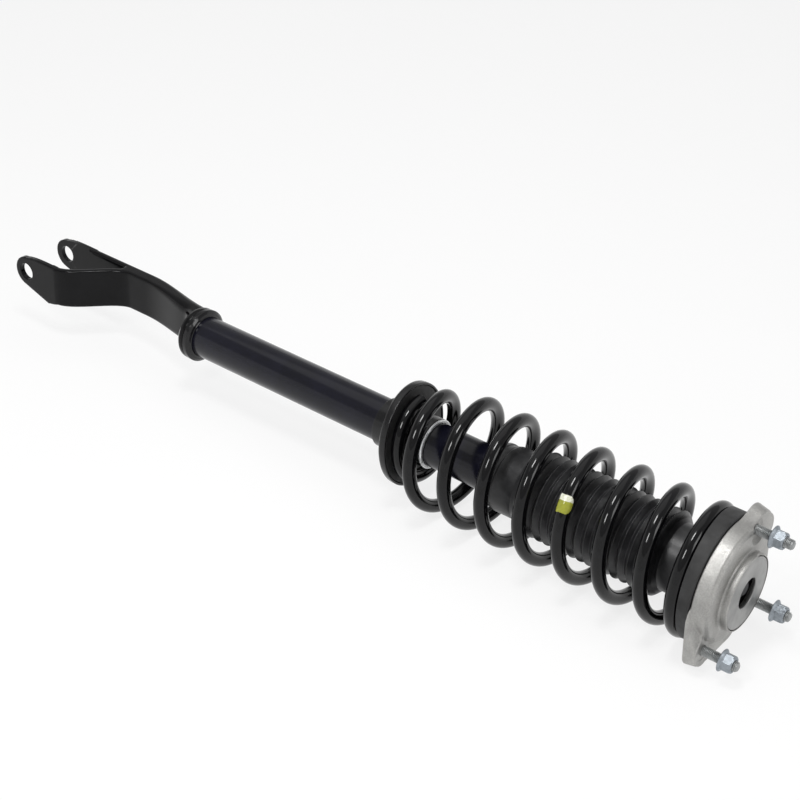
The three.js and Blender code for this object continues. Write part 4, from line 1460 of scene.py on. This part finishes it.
        plate = []
        for x, inset in layers(self.lobe_draft):
            outline = self.outline((x - back) / height, min(inset, self.plate_inset), inset)
            plate.append([(x, y, z) for y, z in outline])
        shells = Shell.over(plate)
        for web in self.webs:
            rows = [(x, web.ring((x - back) / (brow - back), inset)) for x, inset in layers(0.0)]
            shells = shells + Shell.over([[(x, y, z) for y, z in ring] for x, ring in rows])
        angles = np.linspace(0, FULL, self.drum_sides, endpoint=False)
        profile = [(back, self.disc - self.face_edge), (back + self.face_edge, self.disc)]
        profile += [(brow, self.brow), (brow + 1.5, self.brow - 1.0)]
        profile += [(top - 0.4, self.flat + 1.0), (top, self.flat)]
        drum = []
        for x, radius in profile:
            y = self.top_shift_y * (x - back) / height + radius * np.cos(angles)
            z = self.top_shift_z * (x - back) / height + radius * np.sin(angles)
            drum.append(np.column_stack([np.full(self.drum_sides, x), y, z]))
        boss = [(top - 2, 0, 0), (top - 2, self.boss + 1.6, 0), (top - 0.2, self.boss + 1.4, 0.8)]
        boss += [(top + 1.2, self.boss, 0.8), (at.boss_top, self.boss_top, 0.6), (at.boss_top, 0, 0)]
        return shells + Shell.over(drum) + Shell.turned(boss, 160).moved(z=-self.boss_drop)

    def casting(self, bench: Bench) -> None:
        """Makes the casting.

        Args:
            bench: Where it is made.
        """
        at = bench.stations
        made = bench.body("mount_casting", self.blank(at))
        bench.melt(made, self.voxel, self.softening)
        below, above, boss = at.mount_face - 5, at.boss_top + 5, at.boss_top
        recess = Shell.drill(boss - self.cover_sheet - GAP, above, self.cover + self.cover_groove, 128)
        tools = [Shell.drill(below, above, self.bush, 96), recess.moved(z=-self.boss_drop)]
        floor, narrow = at.mount_top - self.pad_depth, self.pad - self.pad_slope
        cone = [(floor, 0, 0), (floor, narrow, 0.8), (boss, narrow + boss - floor, 0), (boss, 0, 0)]
        head = at.mount_face + self.head_height + GAP
        for spot in self.spots:
            hole = Shell.drill(below, boss, self.stud + GAP, 48)
            sink = Shell.drill(below, head, self.head + GAP, 48)
            tools += [tool.moved(spot.y, spot.z) for tool in (Shell.turned(cone, 64), hole, sink)]
        bench.cut(made, tools)
        bench.fit(made, Body.ROD, bench.palette.casting, "top_mount_casting")

    def cover_disc(self, bench: Bench) -> None:
        """Makes the pressed disc that closes the boss round the rod nut.

        Args:
            bench: Where it is made.
        """
        boss, wide, hole = bench.stations.boss_top, self.cover, self.cover_hole
        seat, top = boss - self.cover_sheet, boss - 0.2
        outline = [(seat, hole, 0.4), (seat, wide, 0.4), (top, wide, 0.9), (top, hole + 0.4, 0.6)]
        disc = Shell.turned([*outline, (top - 0.7, hole, 0.6)], 144).moved(z=-self.boss_drop)
        bench.piece("cover_disc", disc, Body.ROD, bench.palette.cover, "mount_cover_disc")

    def thread(self, low: float, high: float) -> Shell:
        """A threaded stud with a round head below it.

        Args:
            low: The head's lower face.
            high: The stud's tip.

        Returns:
            The stud.
        """
        head, wide = low + self.head_height, self.head

        def crest(x: float) -> Radius:
            """The radius round the stud at a station.

            Args:
                x: The station.

            Returns:
                The radius by angle.
            """
            fade = self.thread_depth * min(1.0, max(0.0, (x - head - self.thread_start) / 2))
            body = self.stud + min(0.0, high - self.stud_chamfer - x)
            return lambda a: body - fade * ease(abs(2 * ((x / self.pitch - a / FULL) % 1.0) - 1))

        steps = max(2, round((high - head) / self.pitch * 7))
        profile = [(low, 0.0), (low, wide - 0.4), (low + 0.4, wide), (head - 0.4, wide), (head, wide - 0.4)]
        rows: list[tuple[float, Radius]] = [(x, lambda a, r=r: r) for x, r in profile]
        rows += [(x, crest(x)) for x in np.linspace(head, high, steps)]
        return Shell.wrapped([*rows, (high, lambda a: 0.0)], 40)

    def flange_nut(self, low: float) -> Shell:
        """A hexagon nut on a round flange, with a chamfered crown.

        Args:
            low: Its lower face.

        Returns:
            The nut.
        """
        top, flange_top, flange = low + self.nut, low + self.flange_sheet, self.flange
        half, corner = self.across / 2, self.across / math.sqrt(3)

        def capped(limit: float) -> Radius:
            """The hexagon, held inside a circle."""
            return lambda a: min(hexagon(self.across, a), limit)

        profile = [(low, self.stud + 0.9), (low, flange - 0.7), (low + 0.35, flange - 0.2)]
        profile += [(low + 0.8, flange), (low + 1.35, flange - 0.25), (flange_top, half + 1.5)]
        rows: list[tuple[float, Radius]] = [(x, lambda a, r=r: r) for x, r in profile]
        rows.append((flange_top + 0.5, lambda a: max(half + 0.9, hexagon(self.across, a) - 0.3)))
        rows.append((flange_top + 1.2, capped(corner)))
        for k in range(8):
            s = k / 7
            rows.append((top - 2.6 + 2.6 * s, capped(mix(corner + 0.1, half - 0.35, s**1.6))))
        bore = [(top, self.stud + 1.0), (top - 0.9, self.stud + GAP), (low + 0.7, self.stud + GAP)]
        rows += [(x, lambda a, r=r: r) for x, r in bore]
        return Shell.wrapped(rows, 96)

    def build(self, bench: Bench) -> None:
        """Makes the casting and everything on it.

        Args:
            bench: Where they are made.
        """
        self.casting(bench)
        self.cover_disc(bench)
        at, palette = bench.stations, bench.palette
        face = at.mount_top - self.pad_depth
        for number, spot in enumerate(self.spots, 1):
            stud = bench.body(f"stud_{number}_threaded", self.thread(at.mount_face, face + spot.above), 50)
            nut = bench.body(f"nut_{number}_flanged", self.flange_nut(face + spot.nut_lift), 28)
            for made in (stud, nut):
                made.data.transform(Matrix.Translation(Vector((0, spot.y, spot.z)) * MM))
            bench.fit(stud, Body.ROD, palette.stud, f"mount_stud_{number}")
            bench.fit(nut, Body.ROD, palette.zinc, f"flange_nut_{number}")


@dataclass
class RodEnd:
    """The rod nut, seen through the cover disc."""

    rod: float = 7.0
    across: float = 22.0
    height: float = 8.0
    below_top: float = 6.0

    def build(self, bench: Bench) -> None:
        """Makes the nut.

        Args:
            bench: Where it is made.
        """
        top = bench.stations.boss_top - self.below_top
        low, half, corner = top - self.height, self.across / 2, self.across / math.sqrt(3)
        rows: list[tuple[float, Radius]] = [(low, lambda a: self.rod + GAP), (low, lambda a: half - 0.4)]
        for k in range(13):
            s = k / 12
            limit = corner - abs(2 * s - 1) ** 5 * (corner - half + 0.3)
            rows.append((mix(low, top, s), lambda a, limit=limit: min(hexagon(self.across, a), limit)))
        rows += [(top, lambda a: self.rod + 1.2), (top - 0.9, lambda a: self.rod + GAP)]
        # The nut's zinc is painted near black, as painted shade for the dark hole in the boss.
        finish = bench.palette.nut
        bench.piece("rod_nut_hex", Shell.wrapped(rows, 96), Body.ROD, finish, "rod_nut", crease=28)


@dataclass(frozen=True)
class InnerWorks:
    """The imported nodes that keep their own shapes, by the finish that each gets."""

    seat: tuple[str, ...] = ("tube_top_cap",)
    steel: tuple[str, ...] = ("tube_end_cap", "piston", "piston_nut", "bump_stop_cup", "mount_bush_sleeve")
    rubber: tuple[str, ...] = (
        "rod_seal",
        "rebound_stop",
        "piston_band",
        "gas_piston_ring",
        "mount_bush_rubber",
    )
    alloy: tuple[str, ...] = ("rod_guide", "gas_piston")
    chrome: tuple[str, ...] = ("piston_rod",)
    zinc: tuple[str, ...] = ("rod_washer",)

    def build(self, bench: Bench) -> None:
        """Paints the nodes.

        Args:
            bench: Where they are painted.
        """
        for finish, nodes in vars(self).items():
            for node in nodes:
                bench.paint(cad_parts[node], getattr(bench.palette, finish))


# ---- The studio ----


@dataclass(frozen=True)
class Lamp:
    """A rectangular lamp: where it stands and what it aims at, in metres, its size and power."""

    name: str
    stands: Trio
    aims: Trio
    size: tuple[float, float]
    power: float


@dataclass
class Studio:
    """The camera, a pale floor and soft lamps."""

    camera: Trio = (1354.07, -1114.75, 886.95)
    right: Trio = (0.78336, 0.61959, 0.04962)
    up: Trio = (-0.35883, 0.38559, 0.85003)
    back: Trio = (0.50754, -0.68369, 0.52438)
    lens: float = 73.0057
    film: float = 36.0
    nearest: float = 0.05
    farthest: float = 60.0
    sky: float = 0.44
    floor_glow: float = 0.8
    floor_radius: float = 14.0
    floor_sides: int = 96
    floor_drop: float = 0.0005
    rim: float = 5.5
    lamps: tuple[Lamp, ...] = (
        Lamp("overhead", (-0.35, 0.3, 1.9), (0.05, 0.0, 0.05), (2.4, 1.8), 7.0),
        Lamp("key_low", (0.1, -1.11, 1.3), (0.15, 0.0, 0.06), (0.3, 0.4), 8.0),
        Lamp("key_high", (0.1, -0.32, 1.7), (0.15, 0.0, 0.06), (0.3, 0.4), 10.0),
        Lamp("side", (1.7, 0.1, 0.9), (0.45, 0.0, 0.06), (0.6, 0.6), 5.0),
    )

    def shoot(self, bench: Bench) -> None:
        """Sets the camera where the photograph was taken from.

        Args:
            bench: Knows where the strut is.
        """
        lens = bpy.data.cameras.new("camera")
        lens.sensor_width, lens.lens = self.film, self.lens
        lens.clip_start, lens.clip_end = self.nearest, self.farthest
        camera = bpy.data.objects.new("camera", lens)
        turned = Matrix((self.right, self.up, self.back)).transposed().to_4x4()
        camera.matrix_world = Matrix.Translation(bench.at(*self.camera)) @ turned
        bpy.context.scene.collection.objects.link(camera)
        bpy.context.scene.camera = camera

    def floor_mesh(self) -> bpy.types.Mesh:
        """A round floor whose far rim sweeps up, so that a low view ends on it too.

        Returns:
            The mesh.
        """
        sides = self.floor_sides
        bends = [math.radians(angle) for angle in range(0, 91, 15)]
        rims = [(self.floor_radius + math.sin(a), 1 - math.cos(a)) for a in bends]
        rims.append((self.floor_radius + 1, self.rim))
        turns = [FULL * k / sides for k in range(sides)]
        corners = [(r * math.cos(a), r * math.sin(a), z) for r, z in rims for a in turns]
        faces = [tuple(range(sides))]
        for low in range(0, sides * (len(rims) - 1), sides):
            for k in range(sides):
                n = (k + 1) % sides
                faces.append((low + k, low + n, low + sides + n, low + sides + k))
        mesh = bpy.data.meshes.new("floor")
        mesh.from_pydata(corners, [], faces)
        return mesh

    def floor(self) -> None:
        """Lays the floor, of matt paper that shows nearly white and still takes the shadow."""
        made = bpy.data.objects.new("floor", self.floor_mesh())
        made.location.z = -self.floor_drop
        bpy.context.scene.collection.objects.link(made)
        paper = bpy.data.materials.new("floor_paper")
        paper.use_nodes = True
        board = Board(paper.node_tree)
        tone = board.between(board.cloud(board.place(), 240.0), (0.86, 0.86, 0.86, 1), (0.9, 0.9, 0.9, 1))
        matt = board.node("ShaderNodeBsdfDiffuse", None, {"Color": tone})
        glow = board.node("ShaderNodeEmission", None, {"Color": (1, 1, 1, 1), "Strength": 1.0})
        sockets = {0: board.unseen() * self.floor_glow, 1: matt["BSDF"], 2: glow["Emission"]}
        seen = board.node("ShaderNodeMixShader", None, sockets)
        board.node("ShaderNodeOutputMaterial", None, {"Surface": seen["Shader"]})
        made.data.materials.append(paper)

    def light(self) -> None:
        """Hangs the lamps and lights the sky."""
        for lamp in self.lamps:
            made = bpy.data.lights.new(lamp.name, "AREA")
            made.shape, made.size, made.size_y = "RECTANGLE", *lamp.size
            made.energy = lamp.power
            held = bpy.data.objects.new(lamp.name, made)
            stands = Vector(lamp.stands)
            aim = (Vector(lamp.aims) - stands).to_track_quat("-Z", "Y").to_matrix().to_4x4()
            held.matrix_world = Matrix.Translation(stands) @ aim
            bpy.context.scene.collection.objects.link(held)
        world = bpy.data.worlds.new("pale_sky")
        bpy.context.scene.world = world
        world.use_nodes = True
        board = Board(world.node_tree)
        sky = board.node("ShaderNodeBackground", None, {"Color": (1, 1, 1, 1), "Strength": self.sky})
        board.node("ShaderNodeOutputWorld", None, {"Surface": sky["Background"]})

    def build(self, bench: Bench) -> None:
        """Sets up the whole studio.

        Args:
            bench: Knows where the strut is.
        """
        self.shoot(bench)
        self.floor()
        self.light()
        bpy.context.scene.view_settings.view_transform = "Standard"


def palette_for(bench: Bench, spring: CoilSpring) -> Palette:
    """Mixes the strut's finishes.

    Args:
        bench: Knows where the strut is.
        spring: The spring, for the limb that carries the daub.

    Returns:
        The finishes.
    """
    limb, along = spring.point(spring.daub_turn), spring.tangent(spring.daub_turn)
    skin = bench.at(*(limb + Vector((0, limb.y, limb.z)).normalized() * (spring.wire / 2)))
    daub = {"centre": tuple(skin), "along": tuple(along)}
    axis = {"axis_y": bench.origin.y, "axis_z": bench.origin.z}
    threads = bench.at(bench.stations.mount_face).x
    black, gloss, coil, rubber, zinc = Slot.BLACK, Slot.GLOSS, Slot.SPRING, Slot.RUBBER, Slot.ZINC
    return Palette(
        fork=Enamel("black_enamel", black, (0.003, 0.003, 0.0035), 0.16, 0, 0.18, rub=0.04, grain=0.0008),
        collar=Enamel("collar_enamel", black, (0.004, 0.004, 0.005), 0.11, 0, 0.4, rub=0.02, grain=0.0003),
        tube=Enamel("tube_enamel", gloss, (0.004, 0.004, 0.009), 0.18, 0, 0.34, rub=0.04, grain=0.0004),
        seat=Enamel("dish_enamel", black, (0.004, 0.004, 0.0045), 0.22, 0, 0.4, grain=0.0006),
        spring=CoilEnamel(
            "coil_enamel", coil, (0.0025, 0.0025, 0.003), 0.09, 0, 0.32, rub=0.02, grain=0.0003, **daub
        ),
        rubber=SoftRubber("black_rubber", rubber, (0.018, 0.018, 0.018), 0.58, 0, 0.4, grain=0.02),
        boot=SoftRubber("boot_rubber", rubber, (0.011, 0.011, 0.012), 0.36, 0, 0.45, grain=0.008),
        foam=SoftRubber("pale_foam", Slot.FOAM, (0.62, 0.55, 0.33), 0.9, grain=0.15, grain_size=0.9, bloom=0),
        casting=CastMetal(
            "cast_aluminium", Slot.CASTING, (0.43, 0.425, 0.41), 0.47, 0.75, drift=0.12, rub=0.04
        ),
        cover=TurnedMetal("cover_steel", Slot.PLATE, (0.3, 0.3, 0.295), 0.42, 0.85, drift=0.12, **axis),
        zinc=Finish(
            "bright_zinc", zinc, (0.31, 0.34, 0.37), 0.5, 0.9, drift=0.12, drift_size=3.0, grain=0.003
        ),
        # The rod nut: zinc painted near black, as painted shade for the hole in the boss that it sits in.
        nut=Finish("rod_nut_zinc", zinc, (0.09, 0.09, 0.09), 0.45, 0.9, drift=0.3, drift_size=4.0),
        stud=Finish("dull_zinc", zinc, (0.32, 0.33, 0.33), 0.4, 0.9, drift=0.15, drift_size=5.0, grain=0.003),
        steel=TurnedMetal("turned_steel", Slot.STEEL, (0.26, 0.27, 0.28), 0.35, 0.9, **axis),
        chrome=RodChrome(
            "hard_chrome", Slot.CHROME, (0.68, 0.7, 0.73), 0.08, 1.0, drift=0.03, rub=0.02, threads=threads
        ),
        alloy=TurnedMetal("turned_alloy", Slot.ALLOY, (0.86, 0.87, 0.88), 0.32, 0.7, drift=0.05, **axis),
    )


def main() -> None:
    """Builds the studio and then the strut, piece by piece."""
    logging.basicConfig(level=logging.INFO, format="%(name)s: %(message)s")
    stations, seat = Stations(), LowerSeat()
    bench, spring = Bench(stations), CoilSpring(stations, seat)
    bench.palette = palette_for(bench, spring)
    Studio().build(bench)
    for assembly in (Fork(), seat, spring, DustBoot(), BumpStop(), Isolator(spring), TopMount(), RodEnd()):
        assembly.build(bench)
    InnerWorks().build(bench)


if __name__ == "__main__":
    main()
